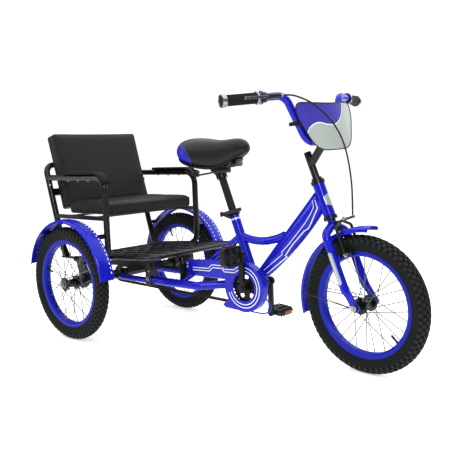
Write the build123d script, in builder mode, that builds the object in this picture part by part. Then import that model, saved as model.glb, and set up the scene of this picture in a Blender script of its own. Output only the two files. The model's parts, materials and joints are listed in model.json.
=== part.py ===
from build123d import *
import math
import os

# A child's pedal tricycle with a passenger seat over the rear axle.
# Millimetres. +X is forward, +Y is the rider's left, +Z is up. The floor is Z = 0
# and the origin lies on it, half way along the tricycle. Lengths along X are
# measured forward of the rear axle until place() puts them in this frame.

# ---- driving dimensions ------------------------------------------------------
wheelbase = 1027.5
track = 560.0
rim_seat_radius = 150.0
tyre_section = 52.5            # from the rim's seat out to the tread
tyre_radius = rim_seat_radius + tyre_section
tyre_width = 48.0
fit = 0.2                      # gap between two pieces that seat on each other
running_gap = 0.5              # gap round a shaft that turns
rest_steer = -4.3              # degrees the steering is turned as the tricycle stands

# Wheels
rim_flange_height = 6.5        # flange above the seat
rim_well_depth = 9.0           # well below the seat
rim_flange_radius = rim_seat_radius + rim_flange_height
rim_inner_radius = rim_seat_radius - rim_well_depth
rim_half_width = 14.8
rim_wall = 2.1
spokes_per_wheel = 28
spoke_radius = 1.0
spoke_cross_angle = 2 * 360 / (spokes_per_wheel / 2)
hub_flange_radius = 24.0
hub_flange_thickness = 3.6
hub_hole_radius = 20.0
hub_barrel_radius = 14.0
hub_flange_offset = 24.0
front_hub_half = 33.0
rear_hub_half = 29.0

# Axles
front_axle_radius = 5.0
rear_axle_radius = 7.5
housing_radius = 17.0
housing_overhang = 11.0        # housing's end outside the seat's side frame
sprocket_slot = (28.0, 74.0)   # housing is open between these distances right of centre
bearing_block_radius = 26.0
bearing_block_width = 16.0

# Steering axis: its lean from upright and a point that it passes through
steer_lean = 22.0
steer_x = 913.0
steer_z = 452.0
head_tube_radius = 18.0
head_tube_length = 101.0
steerer_radius = 12.7
cup_radius = 21.0
cup_height = 11.0

# Fork
fork_leg_radius = 12.7
fork_leg_y = 50.0
fork_crown_drop = 25.0
fork_shoulder_drop = 50.0
fork_leg_end_drop = 222.0
dropout_thickness = 6.0

# Frame tubes
seat_tube_radius = 16.0
seat_tube_lean = 21.2
seat_clamp_z = 456.0
bracket_x = 628.6
bracket_z = 217.0
bracket_shell_radius = 21.0
bracket_shell_half = 34.0
top_tube_radius = 13.5
chainstay_radius = 14.0
chainstay_y = 95.0
chainstay_end_x = 226.0
chainstay_z = 207.0
seatstay_radius = 8.0
stay_split = 0.6               # gap between the two seat stays where they meet
axle_stay_radius = 10.5

# Drive
crank_length = 110.0
crank_arm_y = 73.0
crank_arm_thickness = 10.0
crank_axle_radius = 9.0
chain_y = 50.0
chain_pitch = 12.7
chainring_teeth = 28
sprocket_teeth = 14
chain_half_height = 4.2
chain_half_width = 4.3
guard_outer_radius = 80.0
guard_hole_radius = 45.0
guard_face_y = 62.0
guard_sheet = 1.6
guard_tail_x = 365.0
pedal_length = 84.0
pedal_width = 62.0
pedal_height = 26.0
right_pedal_turn = 84.0        # degrees the right pedal hangs from level

# Saddle and post
post_radius = 12.7
post_top_z = 590.0

# Stem
stem_nut_radius = 16.0
quill_radius = 11.1
quill_top = 202.0              # up the steering axis
stem_branch = 165.0
stem_arm_radius = 12.0
stem_clamp_radius = 18.0
stem_clamp_half = 24.0

# Handlebar
bar_radius = 11.1
bar_clamp = (903.0, 671.0)
bar_low_y = 81.0
bar_high = (865.0, 125.0, 803.0)
bar_bend = 36.0
grip_start_y = 190.0
grip_end = (803.0, 309.0, 792.0)
grip_radius = 15.0

# Passenger seat
seat_tube_y = 221.0
side_tube_radius = 11.0
arm_z = 575.0
arm_front_x = 148.0
arm_bend = 46.0
leg_foot_x = -112.0             # where a rear leg is at leg_foot_z
leg_foot_z = 300.0
leg_end_z = 285.0
side_frame_rear_x = -45.0
leg_lean = 15.5
hoop_top_z = 622.0
cushion_gap = 12.0             # cushion's side to the side tube
cushion_front_x = 150.0
cushion_rear_x = -91.0
cushion_bottom_z = 440.0
cushion_top_z = 482.0
back_gap = 20.0                # backrest's side to the side tube
back_thickness = 45.0
back_bottom_z = 452.0
back_top_z = 731.0
seat_rail_height = 13.0

# Rack
rack_rail_radius = 8.0
rack_front_x = 368.0
rack_rear_x = -48.0
rack_rear_z = 281.0
rack_tilt = 4.25               # degrees the rack rises towards its front
slat_thickness = 6.0
slat_width = 22.0
slat_count = 7
rack_corner = 26.0
beam_drop = 34.0               # beams' centres below the rack's
beam_height = 17.0
beam_width = 20.0
beam_ends = (5.0, 240.0)
stay_bracket_ends = (209.0, 236.0)

# Mudguards
rear_guard_gap = 14.1          # tread to the mudguard's crown
rear_guard_radius = tyre_radius + rear_guard_gap
rear_guard_centre = (10.0, 14.0)  # ahead of and above the axle
rear_guard_half_width = 28.5
rear_guard_y = 286.0
rear_guard_ends = (5.0, 168.0)
front_guard_gap = 17.5
front_guard_radius = tyre_radius + front_guard_gap
front_guard_half_width = 27.0
guard_shell = 2.0
guard_drop = 6.0               # fall from a mudguard's crown to its edge

# ---- derived places ------------------------------------------------------------
rear_x = -wheelbase / 2
rail_y = seat_tube_y - side_tube_radius - rack_rail_radius - 0.5
housing_half = seat_tube_y + housing_overhang
cushion_half = seat_tube_y - side_tube_radius - cushion_gap
back_half = seat_tube_y - side_tube_radius - back_gap
axle_z = tyre_radius
wheel_y = track / 2


def place(x, y, z):
    """A point x forward of the rear axle, y left of the middle, z above the floor."""
    return Vector(rear_x + x, y, z)


def rack_z(x):
    """Height of the rack's middle plane."""
    return rack_rear_z + (x - rack_rear_x) * math.tan(math.radians(rack_tilt))


steer_direction = Vector(-math.sin(math.radians(steer_lean)), 0, math.cos(math.radians(steer_lean)))
steer_point = place(steer_x, 0, steer_z)
steering_axis = Axis(steer_point, steer_direction)
steer_forward = Vector(steer_direction.Z, 0, -steer_direction.X)


def on_steering(up, forward=0.0, side=0.0):
    """A point measured up the steering axis from the head tube's foot, and off it."""
    return steer_point + steer_direction * up + steer_forward * forward + Vector(0, side, 0)


def steered(part):
    """The part turned with the steering, as the tricycle stands."""
    return part.rotate(steering_axis, rest_steer)


# ---- building helpers, each used inside a part's own block -------------------------
def add_bar(start, end, radius, mode=Mode.ADD):
    """A straight round bar from start to end."""
    run = Vector(*end) - Vector(*start)
    with BuildSketch(Plane(origin=start, z_dir=run)) as section:
        Circle(radius)
    extrude(section.sketch, amount=run.length, mode=mode)


def add_tube(route, radius, bend, mode=Mode.ADD):
    """A round tube along straight runs joined by bends."""
    with BuildLine() as run:
        FilletPolyline(*route, radius=bend)
    with BuildSketch(Plane(origin=run.line @ 0, z_dir=run.line % 0)) as section:
        Circle(radius)
    sweep(section.sketch, path=run.line, mode=mode)


def add_cross_disc(centre, radius, half_width, mode=Mode.ADD):
    """A disc or tube whose axis runs across the tricycle, centred at centre."""
    across = Vector(0, half_width, 0)
    add_bar(Vector(*centre) - across, Vector(*centre) + across, radius, mode)


def add_box(centre, size, mode=Mode.ADD, lean=0.0):
    """A box centred at centre, leaned about the cross axis by lean degrees."""
    with Locations(Location(Vector(*centre), (0, lean, 0))):
        Box(*size, mode=mode)


def side_plane(y):
    """Side view plane at y: sketch X is forward, sketch Y is up, and it faces right."""
    return Plane(origin=(rear_x, y, 0), x_dir=(1, 0, 0), z_dir=(0, -1, 0))


def finish(part, label):
    """Label a finished piece and write it."""
    part.label = label
    export_step(part, f"parts/{label}.step")


os.makedirs("parts", exist_ok=True)

# ---- wheels ------------------------------------------------------------------------
front_axle = place(wheelbase, 0, axle_z)
right_wheel = place(0, -wheel_y, axle_z)
left_wheel = place(0, wheel_y, axle_z)


def section_plane(centre):
    """Plane through a wheel's axis: sketch X is across, sketch Y is outwards."""
    return Plane(origin=centre, x_dir=(0, 1, 0), z_dir=(1, 0, 0))


def make_tyre(centre):
    """Round tyre on its rim seat."""
    half = tyre_width / 2
    middle = tyre_radius - half
    bead = rim_half_width - rim_wall - fit
    bead_radius = middle - math.sqrt(half**2 - bead**2)
    with BuildPart() as tyre:
        with BuildSketch(section_plane(centre)):
            with BuildLine():
                ThreePointArc((bead, bead_radius), (half, middle), (0, tyre_radius))
                ThreePointArc((0, tyre_radius), (-half, middle), (-bead, bead_radius))
                Polyline(
                    (-bead, bead_radius),
                    (-bead, rim_seat_radius),
                    (bead, rim_seat_radius),
                    (bead, bead_radius),
                )
            make_face()
        revolve(axis=Axis(centre, (0, 1, 0)))
    return tyre.part


def make_rim(centre):
    """Rolled rim with two flanges."""
    side = rim_half_width
    seat = rim_seat_radius - fit
    shoulder = rim_seat_radius - 4
    with BuildPart() as rim:
        with BuildSketch(section_plane(centre)):
            Polygon(
                (side, rim_flange_radius),
                (side, shoulder),
                (side * 0.62, rim_inner_radius),
                (-side * 0.62, rim_inner_radius),
                (-side, shoulder),
                (-side, rim_flange_radius),
                (rim_wall - side, rim_flange_radius),
                (rim_wall - side, seat),
                (side - rim_wall, seat),
                (side - rim_wall, rim_flange_radius),
                align=None,
            )
        revolve(axis=Axis(centre, (0, 1, 0)))
    return rim.part


def make_hub(centre, half, bore):
    """Hub shell with two spoke flanges, open for its axle."""
    with BuildPart() as hub:
        add_cross_disc(centre, hub_barrel_radius, half)
        for side in (-1, 1):
            flange = Vector(0, side * hub_flange_offset, 0)
            add_cross_disc(centre + flange, hub_flange_radius, hub_flange_thickness / 2)
        add_cross_disc(centre, bore, half + 1, Mode.SUBTRACT)
    return hub.part


def make_spokes(centre):
    """Tangent spokes: on each flange every second one leans the other way."""
    per_flange = spokes_per_wheel // 2
    pitch = 360 / per_flange
    with BuildPart() as spokes:
        for side in (-1, 1):
            for index in range(per_flange):
                leading = index % 2 == 0
                lean = spoke_cross_angle if leading else -spoke_cross_angle
                hub_angle = math.radians(index * pitch + (side > 0) * pitch / 2)
                rim_angle = hub_angle + math.radians(lean)
                clearance = 1.6 if leading else 0.15
                stand_off = hub_flange_thickness / 2 + spoke_radius + clearance
                hub_y = side * (hub_flange_offset + (stand_off if leading else -stand_off))
                start = Vector(
                    hub_hole_radius * math.cos(hub_angle),
                    hub_y,
                    hub_hole_radius * math.sin(hub_angle),
                )
                reach = rim_inner_radius - fit - 0.2
                end = Vector(
                    reach * math.cos(rim_angle), side * 2.5, reach * math.sin(rim_angle)
                )
                add_bar(centre + start, centre + end, spoke_radius)
    return spokes.part


def make_wheel(centre, hub_half, hub_bore):
    """The four pieces that turn together."""
    return {
        "tyre": make_tyre(centre),
        "rim": make_rim(centre),
        "hub": make_hub(centre, hub_half, hub_bore),
        "spokes": make_spokes(centre),
    }


front_wheel_parts = make_wheel(front_axle, front_hub_half, front_axle_radius + running_gap)
for piece, part in front_wheel_parts.items():
    finish(steered(part), f"front_{piece}")
for piece, part in make_wheel(right_wheel, rear_hub_half, rear_axle_radius + fit).items():
    finish(part, f"rear_right_{piece}")
for piece, part in make_wheel(left_wheel, rear_hub_half, rear_axle_radius + running_gap).items():
    finish(part, f"rear_left_{piece}")

# ---- rear axle, which the right wheel turns with -----------------------------------
axle_half = wheel_y + rear_hub_half
with BuildPart() as rear_axle:
    add_cross_disc(place(0, 0, axle_z), rear_axle_radius, axle_half)
    for side in (-1, 1):
        nut_y = side * (axle_half + fit + 5)
        with BuildSketch(Plane(origin=place(0, nut_y, axle_z), z_dir=(0, 1, 0))):
            RegularPolygon(11, 6)
        extrude(amount=4.5, both=True)
        add_cross_disc(place(0, nut_y, axle_z), rear_axle_radius - 1, 10)
finish(rear_axle.part, "rear_axle")

with BuildPart() as axle_housing:
    for inner, outer in ((-housing_half, -sprocket_slot[1]), (-sprocket_slot[0], housing_half)):
        add_bar(place(0, inner, axle_z), place(0, outer, axle_z), housing_radius)
    for side in (-1, 1):
        block_y = side * (housing_half - bearing_block_width / 2)
        add_cross_disc(place(0, block_y, axle_z), bearing_block_radius, bearing_block_width / 2)
        strut_bottom = axle_z + bearing_block_radius - 8
        strut_top = rack_z(0) - 3
        with BuildSketch(side_plane(side * seat_tube_y)):
            Polygon(
                (-40, strut_top),
                (2, strut_top),
                (34, strut_bottom),
                (-20, strut_bottom),
                align=None,
            )
        extrude(amount=5, both=True)
        add_bar(
            place(side_frame_rear_x - 20, side * seat_tube_y, rack_z(side_frame_rear_x - 20) - 3),
            place(arm_front_x, side * seat_tube_y, rack_z(arm_front_x) - 3),
            side_tube_radius + fit / 2,
            Mode.SUBTRACT,
        )
        add_bar(place(0, side * chainstay_y, axle_z), place(50, side * chainstay_y, axle_z), 13)
    for side in (-1, 1):
        add_cross_disc(
            place(0, side * housing_half, axle_z),
            rear_axle_radius + running_gap,
            housing_half,
            Mode.SUBTRACT,
        )
finish(axle_housing.part, "axle_housing")

# ---- main frame ---------------------------------------------------------------------
seat_lean = math.radians(seat_tube_lean)
seat_direction = Vector(-math.sin(seat_lean), 0, math.cos(seat_lean))
bracket = place(bracket_x, 0, bracket_z)
seat_tube_length = (seat_clamp_z - bracket_z) / seat_direction.Z
seat_tube_top = bracket + seat_direction * seat_tube_length


def on_seat_tube(z):
    """A point on the seat tube's axis at height z."""
    return bracket + seat_direction * ((z - bracket_z) / seat_direction.Z)


down_tube_sections = (  # x, z, height, width and slope of each section
    (882, 502, 56, 36, 47),
    (816, 420, 64, 42, 48),
    (758, 357, 61, 42, 46),
    (694, 292, 50, 38, 44),
    (650, 250, 38, 34, 42),
)
head_foot = on_steering(0)
head_top = on_steering(head_tube_length)

with BuildPart() as main_frame:
    sections = []
    for x, z, height, width, slope in down_tube_sections:
        heading = Vector(math.cos(math.radians(slope)), 0, math.sin(math.radians(slope)))
        with BuildSketch(Plane(origin=place(x, 0, z), x_dir=(0, 1, 0), z_dir=heading)) as section:
            Ellipse(width / 2, height / 2)
        sections.append(section.sketch)
    loft(sections)
    with BuildLine() as top_run:
        ThreePointArc(place(562, 0, 377), place(655, 0, 362), place(748, 0, 386))
    with BuildSketch(Plane(origin=top_run.line @ 0, z_dir=top_run.line % 0)) as top_section:
        Circle(top_tube_radius)
    sweep(top_section.sketch, path=top_run.line)
    add_bar(head_foot, head_top, head_tube_radius)
    add_bar(bracket, seat_tube_top, seat_tube_radius)
    add_cross_disc(bracket, bracket_shell_radius, bracket_shell_half)
    add_bar(on_steering(-60), on_steering(head_tube_length + 60), steerer_radius + running_gap, Mode.SUBTRACT)
    add_bar(on_seat_tube(seat_clamp_z - 110), on_seat_tube(seat_clamp_z + 20), post_radius + fit, Mode.SUBTRACT)
    add_cross_disc(bracket, crank_axle_radius + 6, bracket_shell_half + 1, Mode.SUBTRACT)
finish(main_frame.part, "main_frame")

with BuildPart() as headset_cups:
    for start, end in (
        (on_steering(-cup_height - fit), on_steering(-fit)),
        (on_steering(head_tube_length + fit), on_steering(head_tube_length + fit + cup_height)),
    ):
        add_bar(start, end, cup_radius)
        add_bar(start, end, steerer_radius + running_gap, Mode.SUBTRACT)
finish(headset_cups.part, "headset_cups")

with BuildPart() as bracket_cups:
    for side in (-1, 1):
        cup = bracket + Vector(0, side * (bracket_shell_half + fit + 2), 0)
        add_cross_disc(cup, bracket_shell_radius - 2, 2)
        add_cross_disc(cup, crank_axle_radius + running_gap, 3, Mode.SUBTRACT)
finish(bracket_cups.part, "bottom_bracket_cups")

# ---- rear stays ---------------------------------------------------------------------
for side, name in ((-1, "right"), (1, "left")):
    with BuildPart() as chainstay:
        add_tube(
            [
                place(612, side * 16, 214),
                place(525, side * 22, 211),
                place(445, side * chainstay_y, 209),
                place(chainstay_end_x, side * chainstay_y, chainstay_z),
            ],
            chainstay_radius,
            34,
        )
        add_cross_disc(bracket, bracket_shell_radius + fit / 2, bracket_shell_half + 8, Mode.SUBTRACT)
        add_bar(bracket, seat_tube_top, seat_tube_radius + fit / 2, Mode.SUBTRACT)
    finish(chainstay.part, f"{name}_chainstay")



def add_seat_stay(side, radius, mode=Mode.ADD):
    """One stay from the seat tube down to its chainstay."""
    route = [
        place(566, side * 9, 374),
        place(398, side * 34, 245),
        place(376, side * (chainstay_y - 5), 214),
    ]
    add_tube(route, radius, 18, mode)


with BuildPart() as seat_stays:
    for side in (-1, 1):
        add_seat_stay(side, seatstay_radius)
        add_bar(
            place(445, side * chainstay_y, 209),
            place(chainstay_end_x, side * chainstay_y, chainstay_z),
            chainstay_radius + fit / 2,
            Mode.SUBTRACT,
        )
    add_bar(bracket, seat_tube_top, seat_tube_radius + fit / 2, Mode.SUBTRACT)
    add_box(place(560, 0, 376), (60, stay_split, 60), Mode.SUBTRACT)
finish(seat_stays.part, "seat_stays")

bracket_rear_x, bracket_front_x = stay_bracket_ends


def add_beam(side, growth, mode=Mode.ADD):
    """One square beam under the rack, grown all round by growth."""
    middle_x = sum(beam_ends) / 2
    add_box(
        place(middle_x, side * chainstay_y, rack_z(middle_x) - beam_drop),
        (beam_ends[1] - beam_ends[0], beam_width + 2 * growth, beam_height + 2 * growth),
        mode,
        -rack_tilt,
    )


with BuildPart() as stay_brackets:
    for side in (-1, 1):
        low = chainstay_z - chainstay_radius - 8
        high = rack_z(bracket_front_x) - beam_drop
        add_box(
            place((bracket_front_x + bracket_rear_x) / 2, side * chainstay_y, (low + high) / 2),
            (bracket_front_x - bracket_rear_x, 30, high - low),
        )
        add_beam(side, fit, Mode.SUBTRACT)
        add_bar(
            place(chainstay_end_x, side * chainstay_y, chainstay_z),
            place(445, side * chainstay_y, 209),
            chainstay_radius + fit / 2,
            Mode.SUBTRACT,
        )
    tab_foot = chainstay_z
    tab_end = guard_face_y + fit
    add_box(
        place(guard_tail_x + 6, -(tab_end + chainstay_y) / 2, (tab_foot + 276) / 2),
        (3, chainstay_y - tab_end, 276 - tab_foot),
    )
    add_bar(
        place(chainstay_end_x, -chainstay_y, chainstay_z),
        place(445, -chainstay_y, 209),
        chainstay_radius + fit / 2,
        Mode.SUBTRACT,
    )
    add_seat_stay(-1, seatstay_radius + fit / 2, Mode.SUBTRACT)
finish(stay_brackets.part, "stay_brackets")

with BuildPart() as axle_stays:
    for side in (-1, 1):
        add_bar(
            place(50 + fit, side * chainstay_y, axle_z),
            place(bracket_rear_x - fit, side * chainstay_y, axle_z),
            axle_stay_radius,
        )
finish(axle_stays.part, "axle_stays")

# ---- rack ---------------------------------------------------------------------------
with BuildPart() as rear_rack:
    middle_x = (rack_rear_x + rack_front_x) / 2
    for end_x in (rack_rear_x, rack_front_x):
        add_tube(
            [
                place(middle_x, -rail_y, rack_z(middle_x)),
                place(end_x, -rail_y, rack_z(end_x)),
                place(end_x, rail_y, rack_z(end_x)),
                place(middle_x, rail_y, rack_z(middle_x)),
            ],
            rack_rail_radius,
            rack_corner,
        )
    slat_step = (rack_front_x - rack_rear_x) / slat_count
    for index in range(slat_count):
        x = rack_rear_x + (index + 0.5) * slat_step
        add_box(place(x, 0, rack_z(x)), (slat_width, 2 * rail_y, slat_thickness), lean=-rack_tilt)
    for side in (-1, 1):
        add_beam(side, 0)
        for index in (1, 3):
            x = rack_rear_x + (index + 0.5) * slat_step
            add_box(place(x, side * chainstay_y, rack_z(x) - beam_drop / 2), (12, 12, beam_drop))
finish(rear_rack.part, "rear_rack")

# ---- passenger seat -----------------------------------------------------------------
lean_slope = math.tan(math.radians(leg_lean))


def leg_x(z):
    """Where the seat's rear leg is at height z."""
    return leg_foot_x - (z - leg_foot_z) * lean_slope


def add_legs(radius, mode=Mode.ADD):
    """Both rear legs and the bar over them, as one bent hoop."""
    add_tube(
        [
            place(leg_x(leg_end_z), -seat_tube_y, leg_end_z),
            place(leg_x(hoop_top_z), -seat_tube_y, hoop_top_z),
            place(leg_x(hoop_top_z), seat_tube_y, hoop_top_z),
            place(leg_x(leg_end_z), seat_tube_y, leg_end_z),
        ],
        radius,
        34,
        mode,
    )


with BuildPart() as seat_hoop:
    add_legs(side_tube_radius)
    add_box(
        place(leg_x(520), 0, 520), (14, 2 * seat_tube_y - side_tube_radius, 26), lean=-leg_lean
    )
finish(seat_hoop.part, "seat_hoop")

for side, name in ((-1, "right"), (1, "left")):
    with BuildPart() as side_frame:
        add_tube(
            [
                place(leg_x(arm_z), side * seat_tube_y, arm_z),
                place(arm_front_x, side * seat_tube_y, arm_z),
                place(arm_front_x, side * seat_tube_y, rack_z(arm_front_x) - 3),
                place(side_frame_rear_x, side * seat_tube_y, rack_z(side_frame_rear_x) - 3),
            ],
            side_tube_radius,
            arm_bend,
        )
        foot_plate_z = leg_end_z - fit - 2.5
        add_box(place(-80, side * seat_tube_y, foot_plate_z), (80, 20, 5))
        add_bar(place(-82, side * seat_tube_y, foot_plate_z), place(-117, side * seat_tube_y, 340), 4.5)
        add_legs(side_tube_radius + fit / 2, Mode.SUBTRACT)
    finish(side_frame.part.solids().sort_by(SortBy.VOLUME)[-1], f"{name}_seat_side")

with BuildPart() as seat_rails:
    rail_z = cushion_bottom_z - fit - seat_rail_height / 2
    rail_front = arm_front_x
    rail_rear = leg_x(rail_z)
    for side in (-1, 1):
        add_box(
            place((rail_front + rail_rear) / 2, side * seat_tube_y, rail_z),
            (rail_front - rail_rear, 18, seat_rail_height),
        )
    for x in (-50, 100):
        add_box(place(x, 0, cushion_bottom_z - fit - 2.5), (24, 2 * seat_tube_y, 5))
    add_legs(side_tube_radius + fit / 2, Mode.SUBTRACT)
    for side in (-1, 1):
        add_bar(
            place(arm_front_x, side * seat_tube_y, 360),
            place(arm_front_x, side * seat_tube_y, arm_z - arm_bend),
            side_tube_radius + fit / 2,
            Mode.SUBTRACT,
        )
finish(seat_rails.part.solids().sort_by(SortBy.VOLUME)[-1], "seat_rails")

with BuildPart() as passenger_cushion:
    add_box(
        place((cushion_front_x + cushion_rear_x) / 2, 0, (cushion_bottom_z + cushion_top_z) / 2),
        (cushion_front_x - cushion_rear_x, 2 * cushion_half, cushion_top_z - cushion_bottom_z),
    )
    fillet(passenger_cushion.edges().group_by(Axis.Z)[-1], 12)
finish(passenger_cushion.part, "passenger_cushion")

with BuildPart() as passenger_backrest:
    middle_z = (back_bottom_z + back_top_z) / 2
    off_hoop = side_tube_radius + 0.3 + back_thickness / 2
    lean_cos = math.cos(math.radians(leg_lean))
    length = (back_top_z - back_bottom_z) / lean_cos
    add_box(
        place(leg_x(middle_z) + off_hoop / lean_cos, 0, middle_z),
        (back_thickness, 2 * back_half, length),
        lean=-leg_lean,
    )
    fillet(passenger_backrest.edges().filter_by(Axis.Y), 8)
finish(passenger_backrest.part, "passenger_backrest")

with BuildPart() as armrest_pads:
    pad_thickness = 7
    pad_rise = side_tube_radius + fit + pad_thickness / 2
    for side in (-1, 1):
        with BuildLine() as pad_run:
            start = place(-96, side * seat_tube_y, arm_z + pad_rise)
            bend_start = place(arm_front_x - arm_bend, side * seat_tube_y, arm_z + pad_rise)
            centre = place(arm_front_x - arm_bend, side * seat_tube_y, arm_z - arm_bend)
            reach = arm_bend + pad_rise
            Line(start, bend_start)
            ThreePointArc(
                bend_start,
                centre + Vector(math.sin(math.radians(32)), 0, math.cos(math.radians(32))) * reach,
                centre + Vector(math.sin(math.radians(64)), 0, math.cos(math.radians(64))) * reach,
            )
        with BuildSketch(Plane(origin=pad_run.line @ 0, x_dir=(0, 1, 0), z_dir=(1, 0, 0))) as pad_section:
            RectangleRounded(34, pad_thickness, 3)
        sweep(pad_section.sketch, path=pad_run.line)
finish(armrest_pads.part, "armrest_pads")

# ---- seatpost, clamp and saddle -----------------------------------------------------
with BuildPart() as seatpost:
    add_bar(on_seat_tube(seat_clamp_z - 100), on_seat_tube(post_top_z), post_radius)
finish(seatpost.part, "seatpost")

clamp_low = on_seat_tube(seat_clamp_z - 16)
clamp_high = on_seat_tube(seat_clamp_z)
bore_low = clamp_low - seat_direction * 5
bore_high = clamp_high + seat_direction * 5
with BuildPart() as seat_clamp:
    add_bar(clamp_low, clamp_high, seat_tube_radius + 5)
    add_bar(bore_low, bore_high, seat_tube_radius + fit / 2, Mode.SUBTRACT)
    ear = on_seat_tube(seat_clamp_z - 8) + Vector(-(seat_tube_radius + 9), 0, -4)
    add_box(ear, (16, 16, 14))
    add_bar(bore_low, bore_high, seat_tube_radius + fit / 2, Mode.SUBTRACT)
    add_bar(ear + Vector(0, -22, 0), ear + Vector(0, 22, 0), 4)
    add_box(ear + Vector(10, -23, -2), (44, 8, 10), lean=16)
finish(seat_clamp.part, "seat_clamp")

saddle_stations = (  # x, half width, foot and top of the saddle's cover, tail to nose
    (338, 46, 640, 672),
    (350, 68, 626, 688),
    (378, 84, 614, 697),
    (415, 80, 605, 698),
    (455, 62, 600, 693),
    (495, 44, 600, 687),
    (535, 33, 609, 689),
    (575, 27, 624, 688),
    (597, 21, 636, 677),
    (611, 10, 645, 661),
)
saddle_wall = 9.0


def saddle_rib(x, half, foot, top):
    """One cross section of the saddle, flat below and crowned above."""
    rise = top - foot
    with BuildSketch(Plane(origin=place(x, 0, 0), x_dir=(0, 1, 0), z_dir=(1, 0, 0))) as rib:
        with BuildLine():
            Line((-half, foot), (half, foot))
            Spline(
                (half, foot),
                (half * 0.93, foot + rise * 0.5),
                (half * 0.6, foot + rise * 0.9),
                (0, top),
                (-half * 0.6, foot + rise * 0.9),
                (-half * 0.93, foot + rise * 0.5),
                (-half, foot),
            )
        make_face()
    return rib.sketch


with BuildPart() as saddle:
    loft([saddle_rib(*station) for station in saddle_stations])
    hollow = [
        saddle_rib(x, half - saddle_wall, foot - 8, foot + (top - foot) * 0.42)
        for x, half, foot, top in saddle_stations[1:-2]
    ]
    loft(hollow, mode=Mode.SUBTRACT)
finish(saddle.part, "saddle")

saddle_rail_radius = 3.5
rail_head = on_seat_tube(post_top_z)
with BuildPart() as saddle_rails:
    for side in (-1, 1):
        add_tube(
            [
                place(565, side * 8, 645),
                place(536, side * 18, 602),
                place(430, side * 22, 598),
                place(392, side * 40, 612),
                place(385, side * 42, 628),
            ],
            saddle_rail_radius,
            10,
        )
    add_bar(rail_head - seat_direction * 30, rail_head + seat_direction * 2, post_radius + 6)
    add_box(rail_head + Vector(0, 0, 4), (34, 54, 16))
    add_bar(rail_head - seat_direction * 60, rail_head, post_radius + fit / 2, Mode.SUBTRACT)
finish(saddle_rails.part, "saddle_rails")

# ---- drive --------------------------------------------------------------------------
ring_radius = chain_pitch / 2 / math.sin(math.pi / chainring_teeth)
sprocket_radius = chain_pitch / 2 / math.sin(math.pi / sprocket_teeth)
ring_centre = place(bracket_x, -chain_y, bracket_z)
sprocket_centre = place(0, -chain_y, axle_z)
with BuildPart() as chainring:
    add_cross_disc(ring_centre, ring_radius - chain_half_height - 0.4, 1.5)
    with BuildSketch(Plane(origin=ring_centre, z_dir=(0, 1, 0))):
        with PolarLocations(33, 5):
            Circle(9)
    extrude(amount=4, both=True, mode=Mode.SUBTRACT)
    add_cross_disc(ring_centre, 17, 4)
    add_cross_disc(ring_centre, crank_axle_radius + fit / 2, 6, Mode.SUBTRACT)
finish(chainring.part, "chainring")

with BuildPart() as crank:
    add_cross_disc(bracket, crank_axle_radius, crank_arm_y + 4)
    for side in (-1, 1):
        arm_end = bracket + Vector(0, side * crank_arm_y, -side * crank_length)
        hub = bracket + Vector(0, side * crank_arm_y, 0)
        add_cross_disc(hub, 15, crank_arm_thickness / 2)
        add_cross_disc(arm_end, 11, crank_arm_thickness / 2)
        add_box((hub + arm_end) * 0.5, (17, crank_arm_thickness, crank_length))
finish(crank.part, "crank")

pedal_gap = 3
for side, name, turn in ((-1, "right", right_pedal_turn), (1, "left", 6)):
    arm_end = bracket + Vector(0, side * crank_arm_y, -side * crank_length)
    inner_y = crank_arm_thickness / 2 + pedal_gap
    pedal_centre = arm_end + Vector(0, side * (inner_y + pedal_length / 2), 0)
    with BuildPart() as pedal:
        Box(pedal_width, pedal_length, pedal_height)
        with Locations((pedal_width * 0.27, 0, 0), (-pedal_width * 0.27, 0, 0)):
            Box(pedal_width * 0.24, pedal_length * 0.72, pedal_height + 2, mode=Mode.SUBTRACT)
        fillet(pedal.edges().filter_by(Axis.Z).group_by(Axis.Y)[0], 4)
        with Locations(Location((0, -side * (pedal_length / 2 + pedal_gap / 2 - 0.5), 0), (90, 0, 0))):
            Cylinder(7, pedal_gap)
    seated = pedal.part.rotate(Axis.Y, turn).translate(pedal_centre)
    finish(seated, f"{name}_pedal")

with BuildPart() as rear_sprocket:
    add_cross_disc(sprocket_centre, sprocket_radius - chain_half_height - 0.4, 1.5)
    add_cross_disc(sprocket_centre, 17, 8)
    add_cross_disc(sprocket_centre, rear_axle_radius + running_gap, 10, Mode.SUBTRACT)
finish(rear_sprocket.part, "rear_sprocket")


def chain_outline(offset):
    """Closed loop round both sprockets, offset outwards from the chain's pitch line."""
    big = ring_radius + offset
    small = sprocket_radius + offset
    run = Vector(bracket_x, bracket_z - axle_z)
    tilt = math.atan2(run.Y, run.X)
    wrap = math.acos((big - small) / run.length)
    top, bottom = tilt + wrap, tilt - wrap

    def on_circle(x, z, radius, angle):
        return (x + radius * math.cos(angle), z + radius * math.sin(angle))

    ring_top = on_circle(bracket_x, bracket_z, big, top)
    ring_bottom = on_circle(bracket_x, bracket_z, big, bottom)
    sprocket_top = on_circle(0, axle_z, small, top)
    sprocket_bottom = on_circle(0, axle_z, small, bottom)
    with BuildLine() as loop:
        Line(sprocket_top, ring_top)
        ThreePointArc(ring_top, on_circle(bracket_x, bracket_z, big, tilt), ring_bottom)
        Line(ring_bottom, sprocket_bottom)
        ThreePointArc(sprocket_bottom, on_circle(0, axle_z, small, tilt + math.pi), sprocket_top)
    return loop.line


with BuildPart() as chain:
    with BuildSketch(side_plane(-chain_y)) as band:
        make_face(chain_outline(chain_half_height))
        make_face(chain_outline(-chain_half_height), mode=Mode.SUBTRACT)
    extrude(band.sketch, amount=chain_half_width, both=True)
finish(chain.part, "chain")

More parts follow.
